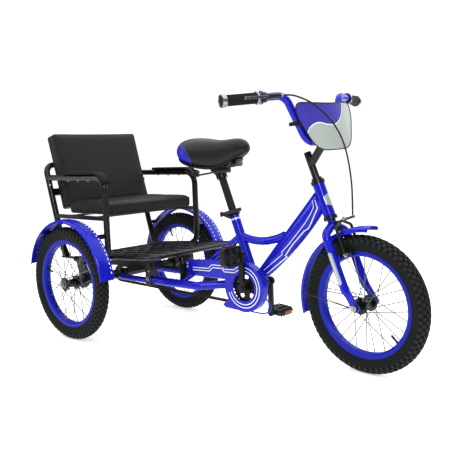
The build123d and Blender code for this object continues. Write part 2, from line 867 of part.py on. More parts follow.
guard_x = bracket_x - 5
with BuildPart() as chain_guard:
    with BuildSketch(side_plane(-guard_face_y)) as face:
        with Locations((guard_x, bracket_z)):
            Circle(guard_outer_radius)
        Polygon(
            (guard_tail_x, 242),
            (guard_tail_x, 284),
            (540, 298),
            (guard_x, bracket_z + guard_outer_radius),
            (guard_x, bracket_z - guard_outer_radius + 2),
            (545, 143),
            (533, 152),
            (558, 172),
            (560, 230),
            (534, 241),
            align=None,
        )
        with Locations((guard_x, bracket_z)):
            Circle(guard_hole_radius, mode=Mode.SUBTRACT)
    extrude(face.sketch, amount=-guard_sheet)
    with BuildSketch(side_plane(-guard_face_y + guard_sheet)) as lip:
        with BuildLine():
            Polyline((guard_tail_x, 284), (540, 298), (guard_x, bracket_z + guard_outer_radius))
            ThreePointArc(
                (guard_x, bracket_z + guard_outer_radius),
                (guard_x + guard_outer_radius, bracket_z),
                (guard_x, bracket_z - guard_outer_radius),
            )
            Line(
                (guard_x, bracket_z - guard_outer_radius),
                (guard_x, bracket_z - guard_outer_radius + guard_sheet),
            )
            ThreePointArc(
                (guard_x, bracket_z - guard_outer_radius + guard_sheet),
                (guard_x + guard_outer_radius - guard_sheet, bracket_z),
                (guard_x, bracket_z + guard_outer_radius - guard_sheet),
            )
            Polyline(
                (guard_x, bracket_z + guard_outer_radius - guard_sheet),
                (540, 298 - guard_sheet),
                (guard_tail_x, 284 - guard_sheet),
                (guard_tail_x, 284),
            )
        make_face()
    extrude(lip.sketch, amount=-(guard_face_y - guard_sheet - 36))
finish(chain_guard.part, "chain_guard")

# ---- steering -----------------------------------------------------------------------
with BuildPart() as fork:
    add_bar(on_steering(-fork_crown_drop), on_steering(head_tube_length + cup_height + 6 - fit), steerer_radius)
    add_tube(
        [
            on_steering(-fork_leg_end_drop, side=-fork_leg_y),
            on_steering(-fork_shoulder_drop, side=-fork_leg_y),
            on_steering(-fork_crown_drop),
            on_steering(-fork_shoulder_drop, side=fork_leg_y),
            on_steering(-fork_leg_end_drop, side=fork_leg_y),
        ],
        fork_leg_radius,
        26,
    )
    for side in (-1, 1):
        tab_top = on_steering(-fork_leg_end_drop + 18, side=side * fork_leg_y)
        tab_end = front_axle + Vector(0, side * fork_leg_y, 0)
        along = tab_end - tab_top
        tab_plane = Plane(origin=tab_top, x_dir=along, z_dir=(0, 1, 0))
        with BuildSketch(tab_plane) as tab:
            with Locations((along.length / 2, 0)):
                SlotOverall(along.length + 26, 22)
            with Locations((along.length, 0)):
                Circle(front_axle_radius + fit / 2, mode=Mode.SUBTRACT)
        extrude(tab.sketch, amount=dropout_thickness / 2, both=True)
finish(steered(fork.part), "fork")

with BuildPart() as front_axle_bar:
    add_cross_disc(front_axle, front_axle_radius, fork_leg_y + 16)
    for side in (-1, 1):
        for middle, width in ((fork_leg_y + 10.5, 6), (fork_leg_y - 8, 8)):
            nut = Plane(origin=front_axle + Vector(0, side * middle, 0), z_dir=(0, 1, 0))
            with BuildSketch(nut) as hexagon:
                RegularPolygon(9.5, 6)
            extrude(hexagon.sketch, amount=width / 2, both=True)
finish(steered(front_axle_bar.part), "front_axle")

stem_low = head_tube_length + cup_height + 6
nut_foot = on_steering(head_tube_length + fit * 2 + cup_height)
clamp_point = place(bar_clamp[0], 0, bar_clamp[1])
with BuildPart() as stem:
    add_bar(nut_foot, on_steering(stem_low + 2), stem_nut_radius)
    add_bar(nut_foot, on_steering(stem_low - fit), steerer_radius + fit / 2, Mode.SUBTRACT)
    add_bar(on_steering(stem_low), on_steering(quill_top), quill_radius)
    add_bar(on_steering(stem_branch), clamp_point, stem_arm_radius)
    add_cross_disc(clamp_point, stem_clamp_radius, stem_clamp_half)
    add_cross_disc(clamp_point, bar_radius + fit / 2, stem_clamp_half + 2, Mode.SUBTRACT)
finish(steered(stem.part), "stem")

with BuildPart() as handlebar:
    high_x, high_y, high_z = bar_high
    end_x, end_y, end_z = grip_end
    route = [
        place(end_x, -end_y, end_z),
        place(high_x, -high_y, high_z),
        place(bar_clamp[0], -bar_low_y, bar_clamp[1]),
        place(bar_clamp[0], bar_low_y, bar_clamp[1]),
        place(high_x, high_y, high_z),
        place(end_x, end_y, end_z),
    ]
    add_tube(route, bar_radius, bar_bend)
finish(steered(handlebar.part), "handlebar")

with BuildPart() as grips:
    for side in (-1, 1):
        tip = place(end_x, side * end_y, end_z)
        inner = place(high_x, side * high_y, high_z)
        outward = (tip - inner).normalized()
        start = tip - outward * (end_y - grip_start_y)
        add_bar(start, tip + outward * 4, grip_radius)
        add_bar(start, start + outward * 4, grip_radius + 4)
        add_bar(tip - outward * 4, tip + outward * 4, grip_radius + 4)
        add_bar(start - outward * 5, tip + outward * fit, bar_radius + fit / 2, Mode.SUBTRACT)
finish(steered(grips.part), "grips")

grip_tip = place(end_x, -end_y, end_z)
grip_root = place(high_x, -high_y, high_z)
outward = (grip_tip - grip_root).normalized()
lever_mount = grip_tip - outward * (end_y - grip_start_y + 16)
ahead = Vector(0.93, 0, 0.02)
lever_reach = 31               # from the bar to the lever's body
lever_body_radius = 7.5
lever_neck_radius = 7.0
lever_blade_radius = 5.0
with BuildPart() as brake_lever:
    add_bar(lever_mount - outward * 8, lever_mount + outward * 8, bar_radius + 5)
    body = lever_mount + ahead * lever_reach
    add_bar(body - outward * 22, body + outward * 12, lever_body_radius)
    add_bar(lever_mount, body, lever_neck_radius)
    add_bar(lever_mount - outward * 20, lever_mount + outward * 20, bar_radius + fit / 2, Mode.SUBTRACT)
    blade_start = body + outward * 8
    blade_end = blade_start + outward * 92 + ahead * 14
    add_bar(blade_start, blade_end, lever_blade_radius)
finish(steered(brake_lever.part), "brake_lever")

# Brake caliper: two arms that reach round the tyre from a bolt ahead of the crown
caliper_up = -fork_crown_drop
caliper_bolt_radius = 3.5
caliper_forward = 34
shoe_up = -125
shoe_y = 23.5
with BuildPart() as brake_caliper:
    add_bar(
        on_steering(caliper_up, forward=fork_leg_radius + fit),
        on_steering(caliper_up, forward=caliper_forward + 10),
        caliper_bolt_radius,
    )
    add_tube(
        [
            on_steering(shoe_up, forward=caliper_forward - 2, side=-36),
            on_steering(caliper_up - 16, forward=caliper_forward, side=-38),
            on_steering(caliper_up, forward=caliper_forward),
            on_steering(caliper_up - 16, forward=caliper_forward, side=38),
            on_steering(shoe_up, forward=caliper_forward - 2, side=36),
        ],
        4.5,
        12,
    )
    for side in (-1, 1):
        shoe = on_steering(shoe_up, forward=caliper_forward - 2, side=side * (shoe_y + 4))
        add_box(shoe, (42, 15, 9), lean=-14)
    caliper_arm_tip = on_steering(caliper_up + 3, forward=caliper_forward + 5.5, side=50)
    add_bar(on_steering(caliper_up, forward=caliper_forward), caliper_arm_tip, 4)
finish(steered(brake_caliper.part), "brake_caliper")

plate_low = place(916, 0, 646)
plate_high = place(885, 0, 782)
plate_up = (plate_high - plate_low).normalized()
plate_face = Vector(plate_up.Z, 0, -plate_up.X)
plate_curve = 600.0
plate_sheet = 2.5
plate_front = 28.0              # how far the plate's middle stands ahead of the bar's plane
with BuildPart() as front_plate:
    with BuildSketch(Plane(origin=plate_low, x_dir=(0, 1, 0), z_dir=plate_face)) as shield:
        with BuildLine():
            FilletPolyline(
                (-112, 133),
                (-122, 92),
                (-112, 40),
                (-74, 0),
                (74, 0),
                (112, 40),
                (122, 92),
                (112, 133),
                radius=24,
                close=True,
            )
        make_face()
    extrude(shield.sketch, amount=plate_front + 5)
    curve_centre = plate_low + plate_face * (plate_front - plate_curve)
    add_bar(curve_centre - plate_up * 40, curve_centre + plate_up * 180, plate_curve, Mode.INTERSECT)
    inside = plate_curve - plate_sheet
    add_bar(curve_centre - plate_up * 50, curve_centre + plate_up * 190, inside, Mode.SUBTRACT)
finish(steered(front_plate.part), "front_plate")

with BuildPart() as plate_brackets:
    strap_x, strap_y, strap_z = 886, 99, 724
    for side in (-1, 1):
        strap = place(strap_x, side * strap_y, strap_z)
        add_bar(strap - Vector(0, 0, 6), strap + Vector(0, 0, 6), bar_radius + 3)
        add_box(strap + Vector(16, 0, 0), (34, 14, 12))
    add_tube(route, bar_radius + fit / 2, bar_bend, Mode.SUBTRACT)
    bracket_front = plate_front - plate_sheet - (strap_y + 7) ** 2 / (2 * plate_curve) - fit
    trim_plane = Plane(origin=plate_low + plate_face * bracket_front, x_dir=(0, 1, 0), z_dir=plate_face)
    with BuildSketch(trim_plane) as trim:
        Rectangle(400, 500)
    extrude(trim.sketch, amount=60, mode=Mode.SUBTRACT)
finish(steered(plate_brackets.part), "plate_brackets")


def add_mudguard(centre, radius, half_width, start, end):
    """Thin crowned strip over a wheel, from start to end degrees above the forward axis."""
    inner = radius - guard_shell
    first = math.radians(start)
    outward_dir = Vector(math.cos(first), 0, math.sin(first))
    ahead_dir = outward_dir.cross(Vector(0, 1, 0)) * -1
    with BuildSketch(Plane(origin=centre, x_dir=(0, 1, 0), z_dir=ahead_dir)) as strip:
        with BuildLine():
            ThreePointArc((-half_width, radius - guard_drop), (0, radius), (half_width, radius - guard_drop))
            Line((half_width, radius - guard_drop), (half_width, inner - guard_drop))
            ThreePointArc((half_width, inner - guard_drop), (0, inner), (-half_width, inner - guard_drop))
            Line((-half_width, inner - guard_drop), (-half_width, radius - guard_drop))
        make_face()
    revolve(strip.sketch, axis=Axis(centre, (0, -1, 0)), revolution_arc=end - start)


for side, name in ((-1, "right"), (1, "left")):
    with BuildPart() as rear_fender:
        middle = place(rear_guard_centre[0], side * rear_guard_y, axle_z + rear_guard_centre[1])
        add_mudguard(middle, rear_guard_radius, rear_guard_half_width, *rear_guard_ends)
    finish(rear_fender.part, f"rear_{name}_fender")

with BuildPart() as front_fender:
    add_mudguard(front_axle, front_guard_radius, front_guard_half_width, 80, 194)
finish(steered(front_fender.part), "front_fender")

with BuildPart() as front_fender_stays:
    for side in (-1, 1):
        rise = math.radians(4)
        rear_reach = front_guard_radius - 8
        rear_end = front_axle + Vector(-math.cos(rise), 0, math.sin(rise)) * rear_reach
        eye = front_axle + Vector(0, side * (fork_leg_y + dropout_thickness / 2 + 2 + fit), 0)
        add_cross_disc(eye, 9, 2)
        knee = eye - Vector(16, 0, 0)
        add_bar(eye, knee, 1.5)
        add_bar(knee, rear_end + Vector(0, side * (front_guard_half_width + 1.5 + fit), 0), 1.5)
        add_cross_disc(eye, front_axle_radius + fit / 2, 4, Mode.SUBTRACT)
    hanger_forward = steerer_radius + fit + 2.2
    add_box(on_steering(-36, forward=hanger_forward), (3, 18, 32), lean=-steer_lean)
    add_bar(
        on_steering(caliper_up, forward=hanger_forward - 4),
        on_steering(caliper_up, forward=hanger_forward + 4),
        caliper_bolt_radius + fit / 2,
        Mode.SUBTRACT,
    )
finish(steered(front_fender_stays.part), "front_fender_stays")

with BuildPart() as rear_fender_brackets:
    for side in (-1, 1):
        y = side * seat_tube_y
        for angle, tube_foot, tube_head in (
            (49.5, place(arm_front_x, y, 340), place(arm_front_x, y, 420)),
            (134, place(leg_x(300), y, 300), place(leg_x(460), y, 460)),
        ):
            turn = math.radians(angle)
            radius = rear_guard_radius - guard_drop - guard_shell - 2
            inner = seat_tube_y
            outer = rear_guard_y + 8
            centre = place(
                rear_guard_centre[0] + radius * math.cos(turn),
                side * (inner + outer) / 2,
                axle_z + rear_guard_centre[1] + radius * math.sin(turn),
            )
            add_box(centre, (3, outer - inner, 20), lean=-angle)
            add_bar(tube_foot, tube_head, side_tube_radius + fit / 2, Mode.SUBTRACT)
finish(rear_fender_brackets.part, "rear_fender_brackets")

# ---- brake cable --------------------------------------------------------------------
cable_radius = 2.5
cable_start = body - outward * (22 + fit)
cable_route = [
    cable_start,
    cable_start - outward * 24 + Vector(2, 0, 1),
    place(903, -107, 796),
    place(924, -80, 779),
    place(941, -50, 752),
    place(954, -20, 717),
    place(957, 14, 672),
    place(958, 35, 618),
    place(959, 47, 555),
    place(959, 50, 500),
    caliper_arm_tip + Vector(0, 0, 4.3),
]
cable_radii = []
for before, corner, after in zip(cable_route, cable_route[1:], cable_route[2:]):
    turn = (corner - before).get_angle(after - corner)
    shorter = min((corner - before).length, (after - corner).length)
    cable_radii.append(0.45 * shorter / math.tan(math.radians(turn / 2)))
print("brake cable bend radii", [round(radius) for radius in cable_radii])
with BuildPart() as brake_cable:
    with BuildLine() as cable_run:
        FilletPolyline(*cable_route, radius=cable_radii)
    with BuildSketch(Plane(origin=cable_run.line @ 0, z_dir=cable_run.line % 0)):
        Circle(cable_radius)
    sweep(path=cable_run.wire())
print("brake cable length", round(cable_run.wire().length, 1))
plain_volume = math.pi * cable_radius**2 * cable_run.wire().length
print("brake cable volume ratio", round(brake_cable.part.volume / plain_volume, 4))
finish(steered(brake_cable.part), "brake_cable")
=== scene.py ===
"""Looks of a child's tricycle with a passenger seat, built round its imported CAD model.

Sizes are millimetres in the rear axle's frame (forward of the axle, left of the
middle, above the floor) until place() puts them in the model's frame in metres.
"""

from __future__ import annotations

import json
import logging
import math
from collections.abc import Callable, Iterator, Sequence
from contextlib import contextmanager
from dataclasses import dataclass, field
from enum import Enum

import bpy
from mathutils import Matrix, Vector

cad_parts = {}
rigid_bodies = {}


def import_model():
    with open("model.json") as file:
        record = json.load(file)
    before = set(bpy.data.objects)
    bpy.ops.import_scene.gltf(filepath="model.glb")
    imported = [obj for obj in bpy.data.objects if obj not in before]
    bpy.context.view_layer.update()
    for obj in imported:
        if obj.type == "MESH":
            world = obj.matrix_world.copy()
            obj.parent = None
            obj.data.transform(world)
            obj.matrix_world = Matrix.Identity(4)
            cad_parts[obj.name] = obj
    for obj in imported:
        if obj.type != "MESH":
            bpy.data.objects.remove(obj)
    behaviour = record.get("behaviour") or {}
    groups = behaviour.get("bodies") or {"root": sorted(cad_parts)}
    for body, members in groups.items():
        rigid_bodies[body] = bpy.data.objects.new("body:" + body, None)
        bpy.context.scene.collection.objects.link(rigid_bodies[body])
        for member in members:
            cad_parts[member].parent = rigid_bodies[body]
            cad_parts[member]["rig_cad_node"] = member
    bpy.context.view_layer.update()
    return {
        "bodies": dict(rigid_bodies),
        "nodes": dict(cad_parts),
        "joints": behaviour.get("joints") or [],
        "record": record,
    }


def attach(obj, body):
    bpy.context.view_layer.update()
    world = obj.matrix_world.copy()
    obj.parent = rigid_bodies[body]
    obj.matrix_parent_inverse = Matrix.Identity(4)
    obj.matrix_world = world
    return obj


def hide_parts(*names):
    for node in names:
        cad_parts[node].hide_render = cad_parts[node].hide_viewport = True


logging.basicConfig(level=logging.INFO, format="%(name)s: %(message)s")
log = logging.getLogger("tricycle")

MM = 0.001
HALF_WHEELBASE = 513.75
AXLE_Z = 202.5
TRACK_HALF = 280.0
QUARTER = math.pi / 2
TURN = 2 * math.pi
SIDES = ((-1, "right"), (1, "left"))
ORIGIN = Vector((0, 0, 0))
FORWARD = Vector((1, 0, 0))
ACROSS = Vector((0, 1, 0))
UP = Vector((0, 0, 1))

Colour = tuple[float, float, float]
Point = tuple[float, float, float]
Test = Callable[[Vector, Vector], bool]


def place(x: float, y: float, z: float) -> Vector:
    """A point in the model's frame, in metres, from millimetres off the rear axle."""
    return Vector((x - HALF_WHEELBASE, y, z)) * MM


def about(centre: Vector, turn: Matrix) -> Matrix:
    """The turn made about a point instead of the origin."""
    return Matrix.Translation(centre) @ turn @ Matrix.Translation(-centre)


def aimed(spot: Vector, facing: Vector, track: str = "Z", up: str = "Y") -> Matrix:
    """Takes a piece from the origin to a spot, its track axis along a direction."""
    return Matrix.Translation(spot) @ facing.to_track_quat(track, up).to_matrix().to_4x4()


def wheelwise(degrees: float) -> Matrix:
    """Turns a piece made at a wheel's top to degrees above the forward direction."""
    return Matrix.Rotation(math.radians(90 - degrees), 4, "Y")


class Body(str, Enum):
    """The rigid bodies that pieces ride on."""

    FRAME = "frame"
    CRANK = "crank"
    RIGHT_PEDAL = "right_pedal"
    LEFT_PEDAL = "left_pedal"
    SPROCKET = "rear_sprocket"
    RIGHT_WHEEL = "rear_right_wheel"
    LEFT_WHEEL = "rear_left_wheel"
    STEERING = "steering"
    FRONT_WHEEL = "front_wheel"


@dataclass(frozen=True)
class Steering:
    """The steering axis and how far it is turned as the tricycle stands."""

    lean: float = 22.0
    x: float = 913.0
    z: float = 452.0
    rest: float = -4.3

    @property
    def upward(self) -> Vector:
        """Unit direction up the axis."""
        lean = math.radians(self.lean)
        return Vector((-math.sin(lean), 0, math.cos(lean)))

    @property
    def forward(self) -> Vector:
        """Unit direction ahead, square to the axis."""
        up = self.upward
        return Vector((up.z, 0, -up.x))

    def turned(self) -> Matrix:
        """The rest turn, for pieces modelled with the wheel straight ahead."""
        turn = Matrix.Rotation(math.radians(self.rest), 4, self.upward)
        return about(place(self.x, 0, self.z), turn)

    def point(self, up: float, forward: float = 0.0, side: float = 0.0) -> Vector:
        """A point up the axis from the head tube's foot, with the wheel straight."""
        offset = self.upward * up + self.forward * forward + ACROSS * side
        return place(self.x, 0, self.z) + offset * MM


STEERING = Steering()


def plate_axes() -> tuple[Vector, Vector, Vector]:
    """The front plate's foot, and its directions up and ahead, with the wheel straight."""
    foot = place(916, 0, 646)
    up = (place(885, 0, 782) - foot).normalized()
    return foot, up, Vector((up.z, 0, -up.x))


# ---- finishes --------------------------------------------------------------------------
Socket = bpy.types.NodeSocket
Inputs = dict[str | int, object]


class Nodes:
    """Adds the nodes of one tree, each with what goes into it."""

    def __init__(self, tree: bpy.types.NodeTree) -> None:
        """Works on the given tree."""
        self.tree = tree

    def add(self, kind: str, inputs: Inputs | None = None, **settings: object) -> bpy.types.Node:
        """A new node.

        Args:
            kind: the node's class, without the ShaderNode prefix.
            inputs: a socket to link or a value to set, by the input's name or number.
            settings: the node's properties.

        Returns:
            The node.
        """
        node = self.tree.nodes.new("ShaderNode" + kind)
        for key, value in settings.items():
            setattr(node, key, value)
        self.feed(node, inputs or {})
        return node

    def feed(self, node: bpy.types.Node, inputs: Inputs) -> None:
        """Link or set a node's inputs; a colour gets its alpha here."""
        for key, value in inputs.items():
            slot = node.inputs[key]
            if isinstance(value, Socket):
                self.tree.links.new(value, slot)
            else:
                slot.default_value = (*value, 1.0) if slot.type == "RGBA" else value

    def maths(self, operation: str, first: Socket | float, second: Socket | float = 0.0) -> Socket:
        """The result of a Math node."""
        return self.add("Math", {0: first, 1: second}, operation=operation).outputs[0]

    def product(self, *values: Socket) -> Socket:
        """All the values multiplied together."""
        result = values[0]
        for value in values[1:]:
            result = self.maths("MULTIPLY", result, value)
        return result

    def between(self, value: Socket, low: float, high: float) -> Socket:
        """A smooth 0 to 1 mask as value runs from low to high."""
        inputs = {0: value, 1: low, 2: high}
        return self.add("MapRange", inputs, interpolation_type="SMOOTHSTEP").outputs[0]

    def blend(self, mask: Socket, first: Socket | Colour, second: Socket | Colour) -> Socket:
        """The first colour where the mask is 0 and the second where it is 1."""
        return self.add("Mix", {0: mask, 6: first, 7: second}, data_type="RGBA").outputs[2]

    def spot(self) -> Socket:
        """The surface point in the object's own coordinates."""
        return self.add("TexCoord").outputs["Object"]

    def dot(self, first: Socket, axis: Vector) -> Socket:
        """How far a vector runs along an axis."""
        return self.add("VectorMath", {0: first, 1: axis}, operation="DOT_PRODUCT").outputs["Value"]

    def along(self, origin: Vector, axis: Vector) -> Socket:
        """How far a surface point lies from origin along an axis, in metres."""
        away = self.add("VectorMath", {0: self.spot(), 1: origin}, operation="SUBTRACT")
        return self.dot(away.outputs[0], axis)

    def facing(self, axis: Vector) -> Socket:
        """How squarely the surface faces along an axis, from -1 to 1."""
        return self.dot(self.add("NewGeometry").outputs["Normal"], axis)

    def noise(self, scale: Socket | float, detail: float, roughness: float = 0.5) -> Socket:
        """Noise over the surface, from 0 to 1."""
        inputs = {"Vector": self.spot(), "Scale": scale, "Detail": detail, "Roughness": roughness}
        return self.add("TexNoise", inputs).outputs[0]

    def bump(self, height: Socket, distance: float, strength: Socket | float) -> Socket:
        """The normal of a relief, its full height given in millimetres."""
        inputs = {"Height": height, "Distance": distance * MM, "Strength": strength}
        return self.add("Bump", inputs).outputs[0]

    def curve(self, value: Socket, spots: Sequence[tuple[float, float]]) -> Socket:
        """A smooth curve through spots that run from 0 to 1."""
        node = self.add("FloatCurve", {"Value": value})
        points = node.mapping.curves[0].points
        points[0].location, points[-1].location = spots[0], spots[-1]
        for spot in spots[1:-1]:
            points.new(*spot)
        node.mapping.update()
        return node.outputs[0]


class Effects:
    """Node groups that several materials share, each built once."""

    def __init__(self) -> None:
        """Builds every group."""
        self.drift = self._drift()
        self.grain = self._grain()
        self.pebble = self._pebble()
        self.dust = self._dust_and_top_light()

    @staticmethod
    def _open(name: str, **inputs: float | Colour) -> tuple[Nodes, Sequence[Socket]]:
        """A new group's nodes, and what it is given."""
        group = bpy.data.node_groups.new(name, "ShaderNodeTree")
        for label, value in inputs.items():
            single = isinstance(value, float)
            kind = "NodeSocketFloat" if single else "NodeSocketColor"
            socket = group.interface.new_socket(label, in_out="INPUT", socket_type=kind)
            socket.default_value = value if single else (*value, 1.0)
        return Nodes(group), group.nodes.new("NodeGroupInput").outputs

    @staticmethod
    def _close(nodes: Nodes, **made: Socket) -> bpy.types.NodeTree:
        """The group, with each result on an output of its own kind."""
        for label, value in made.items():
            nodes.tree.interface.new_socket(label, in_out="OUTPUT", socket_type=value.bl_idname)
        nodes.feed(nodes.tree.nodes.new("NodeGroupOutput"), made)
        return nodes.tree

    def _drift(self) -> bpy.types.NodeTree:
        """Slow change of colour and gloss over a surface."""
        grey = (0.5, 0.5, 0.5)
        nodes, given = self._open(
            "surface drift", Colour=grey, Scale=12.0, Amount=0.1, Gloss=0.4, Swing=0.1
        )
        centred = nodes.maths("SUBTRACT", nodes.noise(given["Scale"], 5.0, 0.6), 0.5)
        bright = nodes.maths("ADD", nodes.maths("MULTIPLY", centred, given["Amount"]), 1.0)
        colour = nodes.add("HueSaturation", {"Value": bright, "Color": given["Colour"]}).outputs[0]
        gloss = nodes.maths("ADD", nodes.maths("MULTIPLY", centred, given["Swing"]), given["Gloss"])
        return self._close(nodes, Colour=colour, Roughness=gloss)

    def _grain(self) -> bpy.types.NodeTree:
        """Fine ripple, as on sprayed paint or moulded plastic."""
        nodes, given = self._open("fine grain", Scale=900.0, Depth=0.1)
        ripple = nodes.noise(given["Scale"], 3.0)
        return self._close(nodes, Normal=nodes.bump(ripple, 0.6, given["Depth"]))

    def _pebble(self) -> bpy.types.NodeTree:
        """Leather pebble with soft wrinkles."""
        nodes, given = self._open("leather pebble", Scale=700.0, Depth=0.3, Wrinkle=0.3)
        inputs = {"Vector": nodes.spot(), "Scale": given["Scale"]}
        cells = nodes.add("TexVoronoi", inputs, feature="SMOOTH_F1").outputs[0]
        swell = nodes.maths("MULTIPLY", nodes.noise(26.0, 4.0), given["Wrinkle"])
        height = nodes.maths("SUBTRACT", swell, nodes.maths("MULTIPLY", cells, given["Depth"]))
        return self._close(nodes, Normal=nodes.bump(height, 1.2, 0.5))

    def _dust_and_top_light(self) -> bpy.types.NodeTree:
        """Pale dust on what faces up, broken by noise; the lighter up-facing tops are also painted light
        from above.
        """
        nodes, given = self._open("dust", Colour=(0.1, 0.1, 0.1), Amount=0.1)
        # painted light from above: faces that point up are lightened in specks, as dust and as lit tops
        level = nodes.between(nodes.facing(UP), 0.2, 1.0)
        speck = nodes.between(nodes.noise(60.0, 6.0), 0.42, 0.7)
        mask = nodes.product(level, speck, given["Amount"])
        return self._close(nodes, Colour=nodes.blend(mask, given["Colour"], (0.35, 0.33, 0.3)))


@dataclass(frozen=True)
class Finish:
    """One surface: its base colour, gloss, relief and coat."""

    name: str
    colour: Colour
    roughness: float = 0.4
    metallic: float = 0.0
    coat: float = 0.0
    specular: float = 0.5
    drift: float = 0.12
    drift_scale: float = 14.0
    gloss_drift: float = 0.08
    grain_scale: float = 900.0
    grain_depth: float = 0.1
    dust: float = 0.0
    coat_roughness: float = 0.06

    def build(self, effects: Effects) -> bpy.types.Material:
        """The material.

        Args:
            effects: the shared node groups.

        Returns:
            A material with colour drift, gloss drift and relief.
        """
        material = bpy.data.materials.new(self.name)
        material.use_nodes = True
        nodes = Nodes(material.node_tree)
        colour, roughness = self.tone(nodes, effects)
        surface = {
            "Base Color": colour,
            "Roughness": roughness,
            "Normal": self.relief(nodes, effects),
            "Metallic": self.metallic,
            "Specular IOR Level": self.specular,
            "Coat Weight": self.coat,
            "Coat Roughness": self.coat_roughness,
        }
        nodes.feed(material.node_tree.nodes["Principled BSDF"], surface)
        material.diffuse_color = (*self.colour, 1.0)
        return material

    def pattern(self, nodes: Nodes) -> Socket | Colour:
        """The colour before drift."""
        return self.colour

    def tone(self, nodes: Nodes, effects: Effects) -> tuple[Socket, Socket]:
        """Colour and roughness after drift, and after dust with painted top light."""
        inputs = {
            "Colour": self.pattern(nodes),
            "Scale": self.drift_scale,
            "Amount": self.drift,
            "Gloss": self.roughness,
            "Swing": self.gloss_drift,
        }
        drift = nodes.add("Group", inputs, node_tree=effects.drift).outputs
        colour = drift["Colour"]
        # dust, and painted light on faces that point up
        if self.dust:
            inputs = {"Colour": colour, "Amount": self.dust}
            colour = nodes.add("Group", inputs, node_tree=effects.dust).outputs["Colour"]
        return colour, drift["Roughness"]

    def relief(self, nodes: Nodes, effects: Effects) -> Socket:
        """The fine shape of the surface."""
        inputs = {"Scale": self.grain_scale, "Depth": self.grain_depth}
        return nodes.add("Group", inputs, node_tree=effects.grain).outputs["Normal"]


@dataclass(frozen=True)
class Leather(Finish):
    """Coated fabric with a pebble."""

    pebble_scale: float = 700.0
    pebble_depth: float = 0.35
    wrinkle: float = 0.5

    def relief(self, nodes: Nodes, effects: Effects) -> Socket:
        """Pebble and soft folds."""
        inputs = {"Scale": self.pebble_scale, "Depth": self.pebble_depth, "Wrinkle": self.wrinkle}
        return nodes.add("Group", inputs, node_tree=effects.pebble).outputs["Normal"]


@dataclass(frozen=True)
class SaddleLeather(Leather):
    """Black cover with a blue panel at each rear corner."""

    panel: Colour = (0.012, 0.012, 0.36)
    seam: Colour = (0.05, 0.05, 0.045)
    seam_foot: Point = (381.0, 0.0, 684.0)
    seam_slope: Point = (1.0, 0.0, 0.68)
    half_width: float = 75.0
    flare: float = 1.1

    def pattern(self, nodes: Nodes) -> Socket:
        """Blue behind a slanting seam, away from the middle."""
        across = nodes.maths("ABSOLUTE", nodes.along(ORIGIN, ACROSS))
        inward = nodes.maths("SUBTRACT", self.half_width * MM, across)
        inward = nodes.maths("MULTIPLY", inward, self.flare)
        edge = nodes.along(place(*self.seam_foot), Vector(self.seam_slope).normalized())
        edge = nodes.maths("ADD", edge, inward)
        blue = nodes.between(edge, 0.0004, -0.0004)
        stitched = nodes.between(nodes.maths("ABSOLUTE", edge), 0.0022, 0.0012)
        return nodes.blend(stitched, nodes.blend(blue, self.colour, self.panel), self.seam)


@dataclass(frozen=True)
class PlateArt(Finish):
    """Front plate: blue above a wave, silver below it, black behind and at its edge."""

    silver: Colour = (0.35, 0.395, 0.365)
    border: Colour = (0.66, 0.71, 0.69)
    back: Colour = (0.01, 0.01, 0.012)
    width: float = 250.0
    height: float = 150.0
    wave: tuple[tuple[float, float], ...] = (
        # across and up the plate, in millimetres
        (-125, 22), (-104, 48), (-85, 65), (-52, 74), (-19, 68), (17, 67),
        (43, 78), (60, 94), (70, 110), (76, 128), (80, 148), (125, 150),
    )

    def pattern(self, nodes: Nodes) -> Socket:
        """The wave, its pale line and the black back."""
        foot, upward, ahead = plate_axes()
        turned = STEERING.turned()
        foot, spin = turned @ foot, turned.to_3x3()
        across = nodes.along(foot, spin @ ACROSS)
        share = nodes.maths("ADD", nodes.maths("DIVIDE", across, self.width * MM), 0.5)
        wave = nodes.curve(share, [(y / self.width + 0.5, z / self.height) for y, z in self.wave])
        wave = nodes.maths("MULTIPLY", wave, self.height * MM)
        above = nodes.maths("SUBTRACT", nodes.along(foot, spin @ upward), wave)
        art = nodes.blend(nodes.between(above, -0.0003, 0.0003), self.silver, self.colour)
        line = nodes.between(nodes.maths("ABSOLUTE", above), 0.0022, 0.0016)
        art = nodes.blend(line, art, self.border)
        front = nodes.between(nodes.facing(spin @ ahead), 0.5, 0.6)
        return nodes.blend(front, self.back, art)


@dataclass(frozen=True)
class PanelPaint(Finish):
    """Frame paint with a darker transfer along both sides of the down tube."""

    panel: Colour = (0.003, 0.002, 0.22)
    lower_edge: tuple[tuple[float, float], ...] = (
        # ahead of the rear axle and above the floor, in millimetres
        (640, 224), (682, 259), (758, 322), (785, 356),
        (832, 404), (857, 431), (881, 477), (900, 520),
    )
    top: float = 600.0
    end: Point = (878.0, 0.0, 500.0)
    underside: Point = (0.917, 0.0, -0.4)

    def pattern(self, nodes: Nodes) -> Socket:
        """Darker above the transfer's lower edge, on the tube's flanks."""
        (first_x, _), (last_x, _) = self.lower_edge[0], self.lower_edge[-1]
        length = last_x - first_x
        along = nodes.along(place(first_x, 0, 0), FORWARD)
        share = nodes.maths("DIVIDE", along, length * MM)
        spots = [((x - first_x) / length, z / self.top) for x, z in self.lower_edge]
        edge = nodes.maths("MULTIPLY", nodes.curve(share, spots), self.top * MM)
        axle = place(0, 0, 0)
        flank = nodes.maths("ABSOLUTE", nodes.along(axle, ACROSS))
        mask = nodes.product(
            nodes.between(nodes.maths("SUBTRACT", nodes.along(axle, UP), edge), 0.0, 0.0006),
            nodes.between(flank, 0.008, 0.009),
            nodes.between(along, 0.036, 0.040),
            nodes.between(nodes.along(place(*self.end), FORWARD), 0.0004, -0.0004),
            nodes.between(nodes.along(axle, Vector(self.underside)), 0.617, 0.618),
        )
        return nodes.blend(mask, self.colour, self.panel)


@dataclass(frozen=True)
class TyreRubber(Finish):
    """Rubber with a coarse moulded grain."""

    def relief(self, nodes: Nodes, effects: Effects) -> Socket:
        """Coarser and deeper than a paint's grain."""
        return nodes.bump(nodes.noise(420.0, 6.0), 0.7, 0.35)


